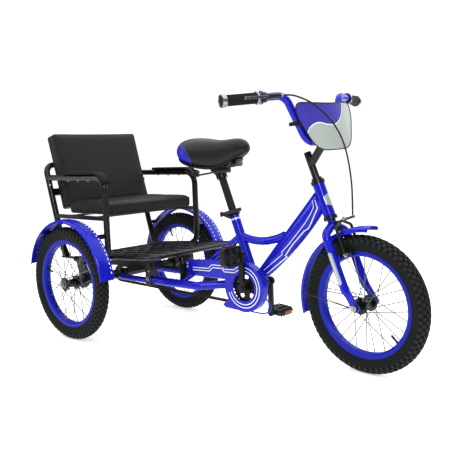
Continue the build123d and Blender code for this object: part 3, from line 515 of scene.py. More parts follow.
class Finishes:
    """Every material of the tricycle, and the CAD nodes dressed in them."""

    blue: Colour = (0.0065, 0.0085, 0.40)
    special: dict[str, str] = {
        # CAD nodes whose finish isn't named as their slot is
        "main_frame": "frame_paint",
        "crank": "gear_steel",
        "chainring": "gear_steel",
        "seatpost": "post_paint",
    }

    def __init__(self) -> None:
        """Builds all the materials."""
        effects = Effects()
        self.made = {kind.name: kind.build(effects) for kind in self.kinds()}

    def kinds(self) -> tuple[Finish, ...]:
        """Each finish, with its colour, roughness, metal and coat."""
        paint = {
            "roughness": 0.24, "metallic": 0.1, "coat": 0.16, "specular": 0.16,
            "grain_depth": 0.04, "grain_scale": 300,
        }
        return (
            Finish("blue_paint", self.blue, **paint),
            PanelPaint("frame_paint", self.blue, **paint),
            Finish(
                "blue_rim", (0.006, 0.011, 0.31), 0.34, 0.1, specular=0.14, drift=0.15, grain_depth=0.04,
            ),
            Finish(
                "black_paint", (0.004, 0.0042, 0.004), 0.28, specular=0.3, drift=0.3, grain_depth=0.12,
                grain_scale=500,
            ),
            Finish(
                "post_paint", (0.005, 0.0055, 0.005), 0.55, specular=0.2, drift=0.4, grain_depth=0.5,
                grain_scale=420,
            ),
            Leather(
                "seat_vinyl", (0.0095, 0.0120, 0.0110), 0.5, specular=0.14, drift=0.25, drift_scale=5,
                pebble_scale=900,
            ),
            Finish(
                "arm_foam", (0.0045, 0.005, 0.0045), 0.7, specular=0.1, drift=0.25, grain_depth=0.35,
                grain_scale=1500, dust=0.04,
            ),
            SaddleLeather(
                "saddle_cover", (0.009, 0.0112, 0.0105), 0.38, specular=0.2, drift=0.2, pebble_scale=1100,
                pebble_depth=0.2, wrinkle=0.2,
            ),
            Finish(
                "chain_steel", (0.022, 0.02, 0.017), 0.42, 0.6, specular=0.25, drift=0.5, drift_scale=90,
                gloss_drift=0.3,
            ),
            Finish(
                "gear_steel", (0.008, 0.008, 0.008), 0.4, 0.4, specular=0.2, drift=0.5, drift_scale=60,
            ),
            Finish(
                "bright_steel", (0.33, 0.335, 0.325), 0.26, 1.0, drift=0.15, drift_scale=120,
                gloss_drift=0.15,
            ),
            Finish(
                "spoke_steel", (0.11, 0.115, 0.12), 0.36, 0.8, specular=0.2, drift=0.2, drift_scale=60,
                gloss_drift=0.1,
            ),
            # the carcass rubber is painted darker than the tread's: painted shade for the gaps between
            # the knobs
            TyreRubber(
                "tyre_wall", (0.006, 0.0074, 0.0068), 0.72, specular=0.12, drift=0.4, drift_scale=40,
            ),
            # the tread's rubber is painted lighter than the carcass: painted light on the knob tops
            TyreRubber(
                "tyre_rubber", (0.0098, 0.012, 0.0112), 0.62, specular=0.2, drift=0.5, drift_scale=40,
                dust=0.05,
            ),
            Finish(
                "pedal_plastic", (0.004, 0.004, 0.004), 0.36, specular=0.25, drift=0.2, grain_depth=0.3,
                grain_scale=1200,
            ),
            Finish(
                "grip_rubber", (0.005, 0.0054, 0.005), 0.6, specular=0.18, drift=0.2, grain_depth=0.3,
                grain_scale=1400,
            ),
            PlateArt(
                "plate_plastic", (0.038, 0.030, 0.33), 0.34, coat=0.15, specular=0.3, drift=0.05,
                grain_depth=0.1, grain_scale=1800,
            ),
            Finish(
                "bracket_plastic", (0.004, 0.004, 0.004), 0.42, specular=0.2, drift=0.2, grain_depth=0.2,
            ),
            Finish("cable_sheath", (0.003, 0.003, 0.003), 0.35, specular=0.25, drift=0.15),
            Finish(
                "amber_lens", (0.29, 0.08, 0.006), 0.4, specular=0.12, drift=0.25, drift_scale=260,
                grain_depth=0.6, grain_scale=420,
            ),
            Finish("silver_transfer", (0.66, 0.7, 0.72), 0.34, 0.15, 0.3, drift=0.06),
            Finish("pale_transfer", (0.5, 0.55, 0.55), 0.35, 0.1, 0.3, drift=0.08),
            Finish("strip_transfer", (0.4, 0.43, 0.42), 0.3, 0.4, 0.3, drift=0.1),
            # painted highlight: white of the mudguard dashes, which stand in for glints
            Finish("white_enamel", (0.8, 0.84, 0.86), 0.25, coat=0.4, drift=0.04),
            Finish("grey_base", (0.008, 0.009, 0.009), 0.5, specular=0.15, drift=0.15, grain_depth=0.2),
        )

    def __getitem__(self, name: str) -> bpy.types.Material:
        """A material by name."""
        return self.made[name]

    def dress(self, frame: dict[str, object]) -> None:
        """Give each CAD node the material of its slot."""
        for part in frame["record"]["subparts"]:
            node = frame["nodes"][part["node"]]
            node.data.materials.clear()
            node.data.materials.append(self[self.special.get(part["node"], part["material_slot"])])


# ---- the workbench ---------------------------------------------------------------------
class Bench:
    """Hand jobs done with Blender's own operators, each on the piece in hand."""

    @staticmethod
    def take(*pieces: bpy.types.Object) -> bpy.types.Object:
        """Select only these pieces and make the first one active."""
        if bpy.context.mode != "OBJECT":
            bpy.ops.object.mode_set(mode="OBJECT")
        bpy.ops.object.select_all(action="DESELECT")
        for piece in pieces:
            piece.select_set(True)
        bpy.context.view_layer.objects.active = pieces[0]
        return pieces[0]

    @staticmethod
    @contextmanager
    def editing(piece: bpy.types.Object, kind: str = "FACE", every: bool = False) -> Iterator[None]:
        """Edit mode on one piece, with a select mode, and all selected if asked."""
        Bench.take(piece)
        bpy.ops.object.mode_set(mode="EDIT")
        bpy.ops.mesh.select_mode(type=kind)
        if every:
            bpy.ops.mesh.select_all(action="SELECT")
        yield
        bpy.ops.object.mode_set(mode="OBJECT")

    @staticmethod
    def choose(piece: bpy.types.Object, test: Test, kind: str = "FACE") -> None:
        """Select the faces, or vertices, whose place and normal pass the test."""
        mesh = piece.data
        for group in (mesh.vertices, mesh.edges, mesh.polygons):
            group.foreach_set("select", [False] * len(group))
        if kind == "FACE":
            for face in mesh.polygons:
                face.select = test(face.center, face.normal)
        else:
            for vertex in mesh.vertices:
                vertex.select = test(vertex.co, vertex.normal)

    @staticmethod
    def choose_edges(piece: bpy.types.Object, test: Callable[[Vector], bool]) -> None:
        """Select the edges whose run passes the test, and no faces."""
        mesh = piece.data
        for edge in mesh.edges:
            start, end = (mesh.vertices[index].co for index in edge.vertices)
            edge.select = test(end - start)
        for face in mesh.polygons:
            face.select = False

    @staticmethod
    def named(name: str, scale: Point = (1, 1, 1)) -> bpy.types.Object:
        """The piece just added, named and scaled, with its place settled into its mesh."""
        piece = bpy.context.object
        piece.name = name
        piece.scale = scale
        Bench.take(piece)
        bpy.ops.object.transform_apply(location=True, rotation=True, scale=True)
        return piece

    @staticmethod
    def cube(name: str, centre: Vector, size: Point, turn: Point = (0, 0, 0)) -> bpy.types.Object:
        """A block from its middle and its size in millimetres."""
        bpy.ops.mesh.primitive_cube_add(size=1, location=centre, rotation=turn)
        return Bench.named(name, tuple(value * MM for value in size))

    @staticmethod
    def rod(
        name: str, start: Vector, end: Vector, radius: float, sides: int = 20, tip: float | None = None
    ) -> bpy.types.Object:
        """A round bar between two points, tapered to tip where that is given, in millimetres."""
        run = end - start
        bpy.ops.mesh.primitive_cone_add(
            vertices=sides,
            radius1=radius * MM,
            radius2=(radius if tip is None else tip) * MM,
            depth=run.length,
            location=(start + end) / 2,
            rotation=run.to_track_quat("Z", "Y").to_euler(),
        )
        return Bench.named(name)

    @staticmethod
    def ring(name: str, centre: Vector, radius: float, wire: float) -> bpy.types.Object:
        """A torus about the Y direction, sizes in millimetres."""
        bpy.ops.mesh.primitive_torus_add(
            location=centre,
            rotation=ACROSS.to_track_quat("Z", "Y").to_euler(),
            major_radius=radius * MM,
            minor_radius=wire * MM,
            major_segments=32,
            minor_segments=12,
        )
        return Bench.named(name)

    @staticmethod
    def modify(piece: bpy.types.Object, kind: str, **settings: object) -> bpy.types.Object:
        """Add a modifier with its settings and apply it."""
        Bench.take(piece)
        modifier = piece.modifiers.new(kind.title(), kind)
        for key, value in settings.items():
            setattr(modifier, key, value)
        bpy.ops.object.modifier_apply(modifier=modifier.name)
        return piece

    @staticmethod
    def soften(piece: bpy.types.Object, width: float, segments: int = 2) -> bpy.types.Object:
        """Round the sharp edges by a width in millimetres."""
        return Bench.modify(
            piece,
            "BEVEL",
            width=width * MM,
            segments=segments,
            limit_method="ANGLE",
            angle_limit=math.radians(40),
        )

    @staticmethod
    def copy(piece: bpy.types.Object, move: Matrix, name: str = "") -> bpy.types.Object:
        """A copy with its own mesh, moved."""
        twin = piece.copy()
        twin.data = piece.data.copy()
        twin.data.transform(move)
        twin.name = name or piece.name
        bpy.context.scene.collection.objects.link(twin)
        return twin

    @staticmethod
    def move(piece: bpy.types.Object, move: Matrix) -> bpy.types.Object:
        """Move the piece's mesh."""
        piece.data.transform(move)
        piece.data.update()
        return piece

    @staticmethod
    def join(name: str, pieces: Sequence[bpy.types.Object]) -> bpy.types.Object:
        """Join pieces into one with a name."""
        Bench.take(*pieces)
        if len(pieces) > 1:
            bpy.ops.object.join()
        pieces[0].name = name
        return pieces[0]

    @staticmethod
    def around(piece: bpy.types.Object, count: int, step: Matrix) -> bpy.types.Object:
        """Repeat the piece count times, each turned by one more step."""
        guide = bpy.data.objects.new("step", None)
        guide.matrix_world = step
        bpy.context.scene.collection.objects.link(guide)
        bpy.context.view_layer.update()
        settings = {"use_relative_offset": False, "use_object_offset": True, "offset_object": guide}
        Bench.modify(piece, "ARRAY", count=count, **settings)
        bpy.data.objects.remove(guide)
        return piece

    @staticmethod
    def outline(name: str, points: Sequence[Vector]) -> bpy.types.Object:
        """A chain of edges through the points, extruded one after another."""
        bpy.ops.mesh.primitive_plane_add(size=MM)
        piece = Bench.named(name)
        with Bench.editing(piece, "VERT", every=True):
            bpy.ops.mesh.merge(type="CENTER")
            bpy.ops.transform.translate(value=points[0])
            for start, end in zip(points, points[1:]):
                bpy.ops.mesh.extrude_region_move(TRANSFORM_OT_translate={"value": end - start})
        return piece

    @staticmethod
    def tidy(piece: bpy.types.Object, gap: float = 0.02) -> bpy.types.Object:
        """Merge doubled points closer than gap millimetres and turn faces outwards."""
        with Bench.editing(piece, "VERT", every=True):
            bpy.ops.mesh.remove_doubles(threshold=gap * MM)
            bpy.ops.mesh.normals_make_consistent(inside=False)
        return piece

    @staticmethod
    def lathe(
        name: str, profile: Sequence[tuple[float, float]], steps: int = 48, sweep: float = TURN
    ) -> bpy.types.Object:
        """Spin a profile about the Y axis.

        Args:
            name: the piece's name.
            profile: (across, out) in millimetres, closed if its ends meet.
            steps: how many facets go round.
            sweep: the angle; less than a full turn starts at the top, forwards.

        Returns:
            The turned piece, its axis through the origin.
        """
        piece = Bench.outline(name, [Vector((0, across, out)) * MM for across, out in profile])
        with Bench.editing(piece, "VERT", every=True):
            bpy.ops.mesh.spin(steps=steps, angle=sweep, center=(0, 0, 0), axis=(0, -1, 0))
        return Bench.tidy(piece)

    @staticmethod
    def sheet(name: str, points: Sequence[Vector], across: Vector, cuts: range) -> bpy.types.Object:
        """A flat sheet inside a closed outline, cut at each of the millimetres across it."""
        piece = Bench.outline(name, points)
        with Bench.editing(piece, "VERT", every=True):
            bpy.ops.mesh.remove_doubles(threshold=1e-5)
            bpy.ops.mesh.edge_face_add()
        for cut in cuts:
            with Bench.editing(piece, "FACE", every=True):
                bpy.ops.mesh.bisect(plane_co=across * cut * MM, plane_no=across)
        return piece

    @staticmethod
    def line(
        name: str,
        points: Sequence[Vector],
        radius: float,
        rings: int,
        facets: int = 4,
        loop: bool = False,
    ) -> bpy.types.Object:
        """A round line that passes near the points, as a curve.

        Args:
            name: the line's name.
            points: its control points.
            radius: its radius in millimetres.
            rings: steps along it from one point to the next.
            facets: 4 flats and twice this many more go round it.
            loop: whether it closes on itself.

        Returns:
            The curve's object.
        """
        curve = bpy.data.curves.new(name, "CURVE")
        curve.dimensions = "3D"
        spline = curve.splines.new("NURBS")
        spline.points.add(len(points) - 1)
        for spot, point in zip(spline.points, points):
            spot.co = (*point, 1.0)
        spline.order_u = 3
        spline.use_endpoint_u = not loop
        spline.use_cyclic_u = loop
        curve.resolution_u = rings
        curve.bevel_depth = radius * MM
        curve.bevel_resolution = facets
        curve.use_fill_caps = True
        piece = bpy.data.objects.new(name, curve)
        bpy.context.scene.collection.objects.link(piece)
        return piece

    @staticmethod
    def wire(
        name: str, points: Sequence[Vector], radius: float, rings: int = 8, loop: bool = False
    ) -> bpy.types.Object:
        """A bent round wire whose line passes near the points, as a mesh."""
        Bench.take(Bench.line(name, points, radius, rings, loop=loop))
        bpy.ops.object.convert(target="MESH")
        return bpy.context.object

    @staticmethod
    def press(
        flat: bpy.types.Object, target: bpy.types.Object, side: int, lift: float
    ) -> bpy.types.Object:
        """Lay a flat piece on one flank of a target, stood off by lift millimetres."""
        return Bench.modify(
            flat,
            "SHRINKWRAP",
            target=target,
            wrap_method="PROJECT",
            wrap_mode="ABOVE_SURFACE",
            use_project_y=True,
            use_negative_direction=side > 0,
            use_positive_direction=side < 0,
            offset=lift * MM,
        )


@dataclass
class Shop:
    """Hands finished pieces over: finish, smoothness, body and node."""

    finishes: Finishes

    def deliver(
        self,
        piece: bpy.types.Object,
        body: Body,
        finish: str,
        slot: str | None = None,
        stands_for: Sequence[str] = (),
        angle: float = 35.0,
        move: Matrix | None = None,
    ) -> bpy.types.Object:
        """Dress a piece and put it on its body.

        Args:
            piece: the finished mesh.
            body: what it moves with.
            finish: its material's name.
            slot: the record's material slot, where it isn't the finish's name; not used.
            stands_for: CAD nodes that it replaces.
            angle: edges sharper than this stay crisp, in degrees.
            move: takes it to its place, where it isn't there yet.

        Returns:
            The same piece.
        """
        if move is not None:
            Bench.move(piece, move)
        Bench.take(piece)
        bpy.ops.object.shade_smooth_by_angle(angle=math.radians(angle))
        piece.data.materials.clear()
        piece.data.materials.append(self.finishes[finish])
        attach(piece, body.value)
        if stands_for:
            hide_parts(*stands_for)
        log.info("%s, %d faces, on %s", piece.name, len(piece.data.polygons), body.value)
        return piece

    def deliver_set(
        self,
        name: str,
        pieces: Sequence[bpy.types.Object],
        body: Body,
        finish: str,
        *args: object,
        **settings: object,
    ) -> bpy.types.Object:
        """Join pieces into one with a name, and deliver it as deliver() does."""
        return self.deliver(Bench.join(name, pieces), body, finish, *args, **settings)


class Fastener:
    """Bolts and nuts, each modelled once at the origin with its head up."""

    def __init__(self) -> None:
        """Models a hexagon bolt and a domed bolt."""
        self.hexagon = self._hexagon()
        self.dome = self._dome()

    @staticmethod
    def _hexagon() -> bpy.types.Object:
        """Hexagon head 10 mm across on a washer, with its thread's end showing."""
        head = Bench.rod("hexagon", Vector((0, 0, 0.0010)), Vector((0, 0, 0.0052)), 5.6, 6)
        Bench.soften(head, 0.5)
        washer = Bench.rod("washer", Vector((0, 0, -0.0004)), Vector((0, 0, 0.0011)), 7.4, 24)
        Bench.soften(washer, 0.3, 1)
        thread = Bench.rod("thread", Vector((0, 0, 0.004)), Vector((0, 0, 0.0078)), 2.8, 16, 2.2)
        return Bench.join("hexagon_bolt", [head, washer, thread])

    @staticmethod
    def _dome() -> bpy.types.Object:
        """Low dome with a cross slot's recess."""
        bpy.ops.mesh.primitive_uv_sphere_add(segments=24, ring_count=12, radius=0.0052)
        head = Bench.named("dome_bolt", (1, 1, 0.62))
        Bench.choose(head, lambda spot, _: spot.z > 0.0026)
        with Bench.editing(head):
            bpy.ops.mesh.inset(thickness=0.0006, depth=-0.0006)
        return head

    def put(
        self, kind: bpy.types.Object, spot: Vector, facing: Vector, size: float = 1.0
    ) -> bpy.types.Object:
        """A copy of a fastener with its head facing a direction."""
        return Bench.copy(kind, aimed(spot, facing) @ Matrix.Scale(size, 4))

    def clear(self) -> None:
        """Remove the patterns once every copy is made."""
        for pattern in (self.hexagon, self.dome):
            bpy.data.objects.remove(pattern)


# ---- wheels ----------------------------------------------------------------------------
@dataclass(frozen=True)
class Wheel:
    """Where one wheel stands, and what it rides on."""

    name: str
    centre: tuple[float, float]
    body: Body
    valve_angle: float
    steered: bool = False

    def seat(self) -> Matrix:
        """Takes a piece modelled about the origin to the wheel's place."""
        move = Matrix.Translation(place(self.centre[0], self.centre[1], AXLE_Z))
        return STEERING.turned() @ move if self.steered else move


WHEELS = (
    Wheel("front", (1027.5, 0.0), Body.FRONT_WHEEL, -42.5, True),
    Wheel("rear_right", (0.0, -TRACK_HALF), Body.RIGHT_WHEEL, 164.0),
    Wheel("rear_left", (0.0, TRACK_HALF), Body.LEFT_WHEEL, 118.0),
)


@dataclass
class WheelSet:
    """Treaded tyres, nipples, valves and hub dressing for all three wheels."""

    middle_radius: float = 177.5
    carcass: float = 21.0
    bead: tuple[float, float] = (12.3, 151.0)
    wall_line: float = 0.8
    wall_lines: tuple[int, ...] = (84, 96, 114)
    tread_count: int = 62
    rim_inner: float = 141.0
    spokes: int = 28
    spoke_radius: float = 1.3
    nipple_y: float = 2.5
    hub_holes: float = 20.0
    flange: float = 24.0
    flange_half: float = 1.8
    rows: tuple[tuple[float, float, float, float, float], ...] = (
        # turn from the crown, length round, width, height and phase of each row
        (0.0, 12.5, 7.6, 4.0, 0.0),
        (20.5, 12.0, 6.6, 4.0, 0.5),
        (-20.5, 12.0, 6.6, 4.0, 0.5),
        (41.5, 12.5, 8.6, 4.0, 0.0),
        (-41.5, 12.5, 8.6, 4.0, 0.0),
        (67.0, 9.5, 12.5, 3.4, 0.5),
        (-67.0, 9.5, 12.5, 3.4, 0.5),
    )

    def build(self, shop: Shop) -> None:
        """Model one of each and copy it to every wheel."""
        carcass, tread, spokes = self.carcass_ring(), self.tread(), self.spoke_set()
        nipples, collars = self.nipples(), self.collars()
        copied = (
            # pattern, name, finish, slot, the CAD node that it replaces, angle of its crisp edges
            # the carcass wears the darker rubber, painted shade between the knobs
            (carcass, "carcass", "tyre_wall", "tyre_rubber", "tyre", 35),
            (tread, "tread", "tyre_rubber", None, None, 25),
            (spokes, "wire_spokes", "spoke_steel", None, "spokes", 35),
            (nipples, "nipples", "bright_steel", "spoke_steel", None, 35),
            (collars, "collars", "bright_steel", None, None, 35),
        )
        for wheel in WHEELS:
            seat = wheel.seat()
            for pattern, name, finish, slot, node, angle in copied:
                piece = Bench.copy(pattern, seat, f"{wheel.name}_{name}")
                stands_for = [f"{wheel.name}_{node}"] if node else []
                shop.deliver(piece, wheel.body, finish, slot, stands_for, angle)
            move = seat @ wheelwise(wheel.valve_angle)
            shop.deliver(self.valve(wheel), wheel.body, "bracket_plastic", move=move)
        for pattern, *_ in copied:
            bpy.data.objects.remove(pattern)

    def carcass_ring(self) -> bpy.types.Object:
        """The tyre's round body with moulded lines on its walls."""
        profile = [(-self.bead[0], self.bead[1])]
        for angle in range(-126, 127, 6):
            radius = self.carcass + (self.wall_line if abs(angle) in self.wall_lines else 0.0)
            turn = math.radians(angle)
            profile.append((radius * math.sin(turn), radius * math.cos(turn) + self.middle_radius))
        return Bench.lathe("carcass", [*profile, self.bead, profile[0]], 120)

    def tread(self) -> bpy.types.Object:
        """Every knob of the tread, from one pitch of it."""
        tread = Bench.join("tread", [self.knob(*row) for row in self.rows])
        return Bench.around(tread, self.tread_count, Matrix.Rotation(TURN / self.tread_count, 4, "Y"))

    def spoke_set(self) -> bpy.types.Object:
        """Tangent spokes: on each flange every second one leans the other way."""
        per_flange = self.spokes // 2
        spokes = []
        for index in range(self.spokes):
            side, step = (-1, 1)[index % 2], index // 2
            leading = step % 2 == 0
            hub_angle = TURN * (step + (side > 0) / 2) / per_flange
            rim_angle = hub_angle + (2 if leading else -2) * TURN / per_flange
            stand_off = self.flange_half + self.spoke_radius
            stand_off += 1.4 if leading else -2 * self.spoke_radius - 3.6
            start = self.round_hub(self.hub_holes, hub_angle, side * (self.flange + stand_off))
            end = self.round_hub(self.rim_inner, rim_angle, side * self.nipple_y)
            spokes.append(Bench.rod("spoke", start, end, self.spoke_radius, 8))
        return Bench.join("spokes", spokes)

    @staticmethod
    def round_hub(radius: float, angle: float, y: float) -> Vector:
        """A point about the wheel's axle, its angle above the forward direction."""
        return Vector((radius * math.cos(angle), y, radius * math.sin(angle))) * MM

    def knob(
        self, turn: float, length: float, width: float, height: float, phase: float
    ) -> bpy.types.Object:
        """One tapered knob in its place on the section."""
        middle = self.middle_radius + self.carcass + height / 2 - 0.5
        knob = Bench.cube("knob", Vector((0, 0, middle * MM)), (length, width, height + 1.0))
        Bench.choose(knob, lambda _, normal: normal.z > 0.9)
        with Bench.editing(knob):
            bpy.ops.transform.resize(value=(0.82, 0.86, 1.0))
        Bench.soften(knob, 0.45, 1)
        Bench.choose(knob, lambda _, normal: normal.z < -0.9)
        with Bench.editing(knob):
            bpy.ops.mesh.delete(type="FACE")
        lean = about(Vector((0, 0, self.middle_radius * MM)), Matrix.Rotation(math.radians(turn), 4, "X"))
        step = Matrix.Rotation(TURN / self.tread_count * phase, 4, "Y")
        return Bench.move(knob, step @ lean)

    def nipples(self) -> bpy.types.Object:
        """A nipple at the rim's inside for each spoke."""
        pair = []
        for side, share in ((-1, 0.0), (1, 0.5)):
            start = Vector((0, side * self.nipple_y, self.rim_inner + 0.6)) * MM
            end = Vector((0, side * 4.2, self.rim_inner - 9.0)) * MM
            nipple = Bench.rod("nipple", start, end, 2.1, 12, 1.5)
            turn = wheelwise(90 + share * 720 / self.spokes) @ Matrix.Rotation(-QUARTER, 4, "Y")
            pair.append(Bench.move(nipple, turn))
        nipples = Bench.join("nipples", pair)
        per_flange = self.spokes // 2
        return Bench.around(nipples, per_flange, Matrix.Rotation(TURN / per_flange, 4, "Y"))

    def collars(self) -> bpy.types.Object:
        """Bright bearing rings inside the hub's ends."""
        rings = [Bench.ring("collar", ACROSS * side * 28.5 * MM, 11.2, 1.4) for side, _ in SIDES]
        return Bench.join("collars", rings)

    def valve(self, wheel: Wheel) -> bpy.types.Object:
        """Rubber stem and cap that stand out of the rim towards the hub."""
        top, neck, end = (Vector((0, 0, out * MM)) for out in (142.0, 128.0, 113.0))
        stem = Bench.rod("stem", top, neck, 4.2, 20, 3.0)
        cap = Bench.soften(Bench.rod("cap", neck, end, 3.5, 14), 0.8)
        return Bench.join(f"{wheel.name}_valve", [stem, cap])


# ---- passenger seat --------------------------------------------------------------------
@dataclass
class PassengerSeat:
    """Cushion, backrest and arm pads of the seat over the rear axle."""

    cushion_size: Point = (244.0, 412.0, 38.0)
    cushion_middle: Point = (24.5, 0.0, 463.0)
    side_limit: float = 208.5
    back_lean: float = 15.5
    back_foot: Point = (-112.0, 0.0, 300.0)
    back_size: Point = (46.0, 406.0, 291.0)
    back_middle_z: float = 596.5
    back_off: float = 37.8
    arm_y: float = 221.0
    arm_z: float = 575.0
    arm_front_x: float = 148.0
    arm_bend: float = 46.0
    arm_rear_x: float = -80.0
    arm_pad_size: tuple[float, float] = (9.0, 37.0)
    arm_pad_lift: float = 11.4
    voxel: float = 5.5
    bolts: list[bpy.types.Object] = field(default_factory=list)

    def build(self, shop: Shop, fastener: Fastener) -> None:
        """Make the soft pieces, the pads and their screws."""
        self.cushion(shop)
        self.backrest(shop)
        for side, name in SIDES:
            self.arm_pad(shop, side, name, fastener)
        self.frame_bolts(fastener)
        shop.deliver_set("seat_bolts", self.bolts, Body.FRAME, "bright_steel")

    def stuffed(self, name: str, size: Point, corner: float, cap: float) -> bpy.types.Object:
        """A boxed pad blown up by a cloth simulation, about the origin.

        Args:
            name: the piece's name.
            size: its sewn size in millimetres.
            corner: radius of its edges in millimetres.
            cap: how far a point may swell in millimetres.

        Returns:
            The pad's mesh.
        """
        pad = Bench.cube(name, ORIGIN, size)
        Bench.soften(pad, corner, 3)
        Bench.modify(pad, "REMESH", mode="VOXEL", voxel_size=self.voxel * MM)
        self.swell(pad, cap)
        Bench.modify(pad, "SMOOTH", factor=0.5, iterations=3)
        for vertex in pad.data.vertices:
            vertex.co.y = max(-self.side_limit * MM, min(self.side_limit * MM, vertex.co.y))
        return Bench.modify(pad, "SUBSURF", levels=1, render_levels=1)

    @staticmethod
    def swell(pad: bpy.types.Object, cap: float) -> None:
        """Blow the pad up as cloth, with its swelling capped."""
        cloth = pad.modifiers.new("Cloth", "CLOTH")
        cloth.settings.use_pressure = True
        cloth.settings.uniform_pressure_force = 4.0
        cloth.settings.effector_weights.gravity = 0.0
        cloth.settings.tension_stiffness = 30.0
        cloth.settings.bending_stiffness = 2.0
        scene = bpy.context.scene
        for step in range(1, 21):
            scene.frame_set(step)
        blown = pad.evaluated_get(bpy.context.evaluated_depsgraph_get())
        limit = cap * MM
        places = []
        for vertex, moved in zip(pad.data.vertices, blown.data.vertices):
            shift = moved.co - vertex.co
            places.append(vertex.co + shift * min(1.0, limit / max(shift.length, 1e-9)))
        pad.modifiers.remove(cloth)
        for vertex, spot in zip(pad.data.vertices, places):
            vertex.co = spot
        scene.frame_set(1)

    def seam(self, pad: bpy.types.Object, size: Point, at: Vector, flat: str) -> bpy.types.Object:
        """A welt sewn round a pad's edge, pressed onto its skin.

        Args:
            pad: the pad it lies on.
            size: the loop's two sides in millimetres, and its corner radius.
            at: the loop's middle.
            flat: the axis that the loop is square to.

        Returns:
            The welt's mesh.
        """
        turn = (0, QUARTER, 0) if flat == "x" else (0, 0, 0)
        bpy.ops.mesh.primitive_plane_add(size=MM, location=at, rotation=turn)
        loop = Bench.named("welt", (size[0], size[1], 1))
        with Bench.editing(loop, "VERT", every=True):
            bpy.ops.mesh.bevel(offset=size[2] * MM, segments=5, affect="VERTICES")
            bpy.ops.mesh.delete(type="ONLY_FACE")
            bpy.ops.mesh.select_all(action="SELECT")
            bpy.ops.mesh.subdivide(number_cuts=5)
        Bench.modify(loop, "SHRINKWRAP", target=pad, wrap_method="NEAREST_SURFACEPOINT", offset=0.0002)
        Bench.modify(loop, "SMOOTH", factor=0.5, iterations=4)
        Bench.take(loop)
        bpy.ops.object.convert(target="CURVE")
        loop.data.bevel_depth = 0.0016
        loop.data.bevel_resolution = 2
        bpy.ops.object.convert(target="MESH")
        return bpy.context.object

    def cushion(self, shop: Shop) -> None:
        """The seat cushion, flat beneath, with a welt round its top and a sewn front."""
        length, width, height = self.cushion_size
        pad = self.stuffed("seat_cushion", self.cushion_size, 7, 7)
        front = length / 2.1 * MM
        for vertex in pad.data.vertices:
            vertex.co.z = max(vertex.co.z, -height / 2 * MM)
            groove = math.exp(-((vertex.co.y / (2.2 * MM)) ** 2))
            groove *= 1 if vertex.co.x > front else 0.35
            vertex.co.z -= 1.2 * MM * groove * (vertex.co.z > 0)
            vertex.co.x -= 1.6 * MM * groove * (vertex.co.x > 0)
        welt = self.seam(pad, (length - 2, width - 2, 16), UP * (height / 2 - 4) * MM, "z")
        welt.name = "cushion_welt"
        move = Matrix.Translation(place(*self.cushion_middle))
        self.upholster(shop, pad, welt, move, "passenger_cushion")

    @staticmethod
    def upholster(
        shop: Shop, pad: bpy.types.Object, welt: bpy.types.Object, move: Matrix, node: str
    ) -> None:
        """Deliver a pad, which replaces a CAD node, and its welt."""
        shop.deliver(pad, Body.FRAME, "seat_vinyl", stands_for=[node], angle=80, move=move)
        shop.deliver(welt, Body.FRAME, "seat_vinyl", angle=80, move=move)

    def backrest(self, shop: Shop) -> None:
        """The leaned backrest, boxed, with welts round its front and its rear."""
        pad = self.stuffed("seat_back", self.back_size, 6, 6)
        thick, width, length = self.back_size
        loop = (length - 4, width - 4, 14)
        welts = [self.seam(pad, loop, FORWARD * side * (thick / 2 - 2) * MM, "x") for side, _ in SIDES]
        slope = math.tan(math.radians(self.back_lean))
        foot_x, _, foot_z = self.back_foot
        x = foot_x - (self.back_middle_z - foot_z) * slope + self.back_off
        turn = Matrix.Rotation(math.radians(-self.back_lean), 4, "Y")
        move = Matrix.Translation(place(x, 0, self.back_middle_z)) @ turn
        self.upholster(shop, pad, Bench.join("back_welts", welts), move, "passenger_backrest")

    def arm_pad(self, shop: Shop, side: int, name: str, fastener: Fastener) -> None:
        """A moulded pad that follows the arm over its bend, with screws beneath."""
        thickness, width = self.arm_pad_size
        base = self.arm_z + self.arm_pad_lift
        start = place(self.arm_rear_x, side * self.arm_y, base + thickness / 2)
        bpy.ops.mesh.primitive_plane_add(size=MM, location=start, rotation=(0, QUARTER, 0))
        pad = Bench.named(f"{name}_arm_pad", (thickness, width, 1))
        bend_x, steps = self.arm_front_x - self.arm_bend, 6
        run = (bend_x - self.arm_rear_x) / steps * MM
        centre = place(bend_x, side * self.arm_y, self.arm_z - self.arm_bend)
        with Bench.editing(pad, "VERT", every=True):
            bpy.ops.mesh.bevel(offset=3.6 * MM, segments=4, affect="VERTICES")
        with Bench.editing(pad, "FACE", every=True):
            for _ in range(steps):
                bpy.ops.mesh.extrude_region_move(TRANSFORM_OT_translate={"value": (run, 0, 0)})
        Bench.choose(pad, lambda spot, _: spot.x > centre.x - 0.1 * MM)
        with Bench.editing(pad):
            bpy.ops.mesh.spin(steps=12, angle=math.radians(64), center=centre, axis=(0, -1, 0))
        Bench.tidy(pad)
        Bench.soften(pad, 1.6, 2)
        shop.deliver(pad, Body.FRAME, "arm_foam", stands_for=["armrest_pads"], angle=50)
        for x in (-60, 0, 60):
            under = place(x, side * self.arm_y, self.arm_z - 11.0)
            self.bolts.append(fastener.put(fastener.dome, under, -UP, 0.9))

    def frame_bolts(self, fastener: Fastener) -> None:
        """Bolts of the legs, arms and rails."""
        for side, _ in SIDES:
            for x, z in ((-163, 548), (-108, 306), (148, 318)):
                spot = place(x, side * (self.arm_y + 10.6), z)
                self.bolts.append(fastener.put(fastener.dome, spot, ACROSS * side))


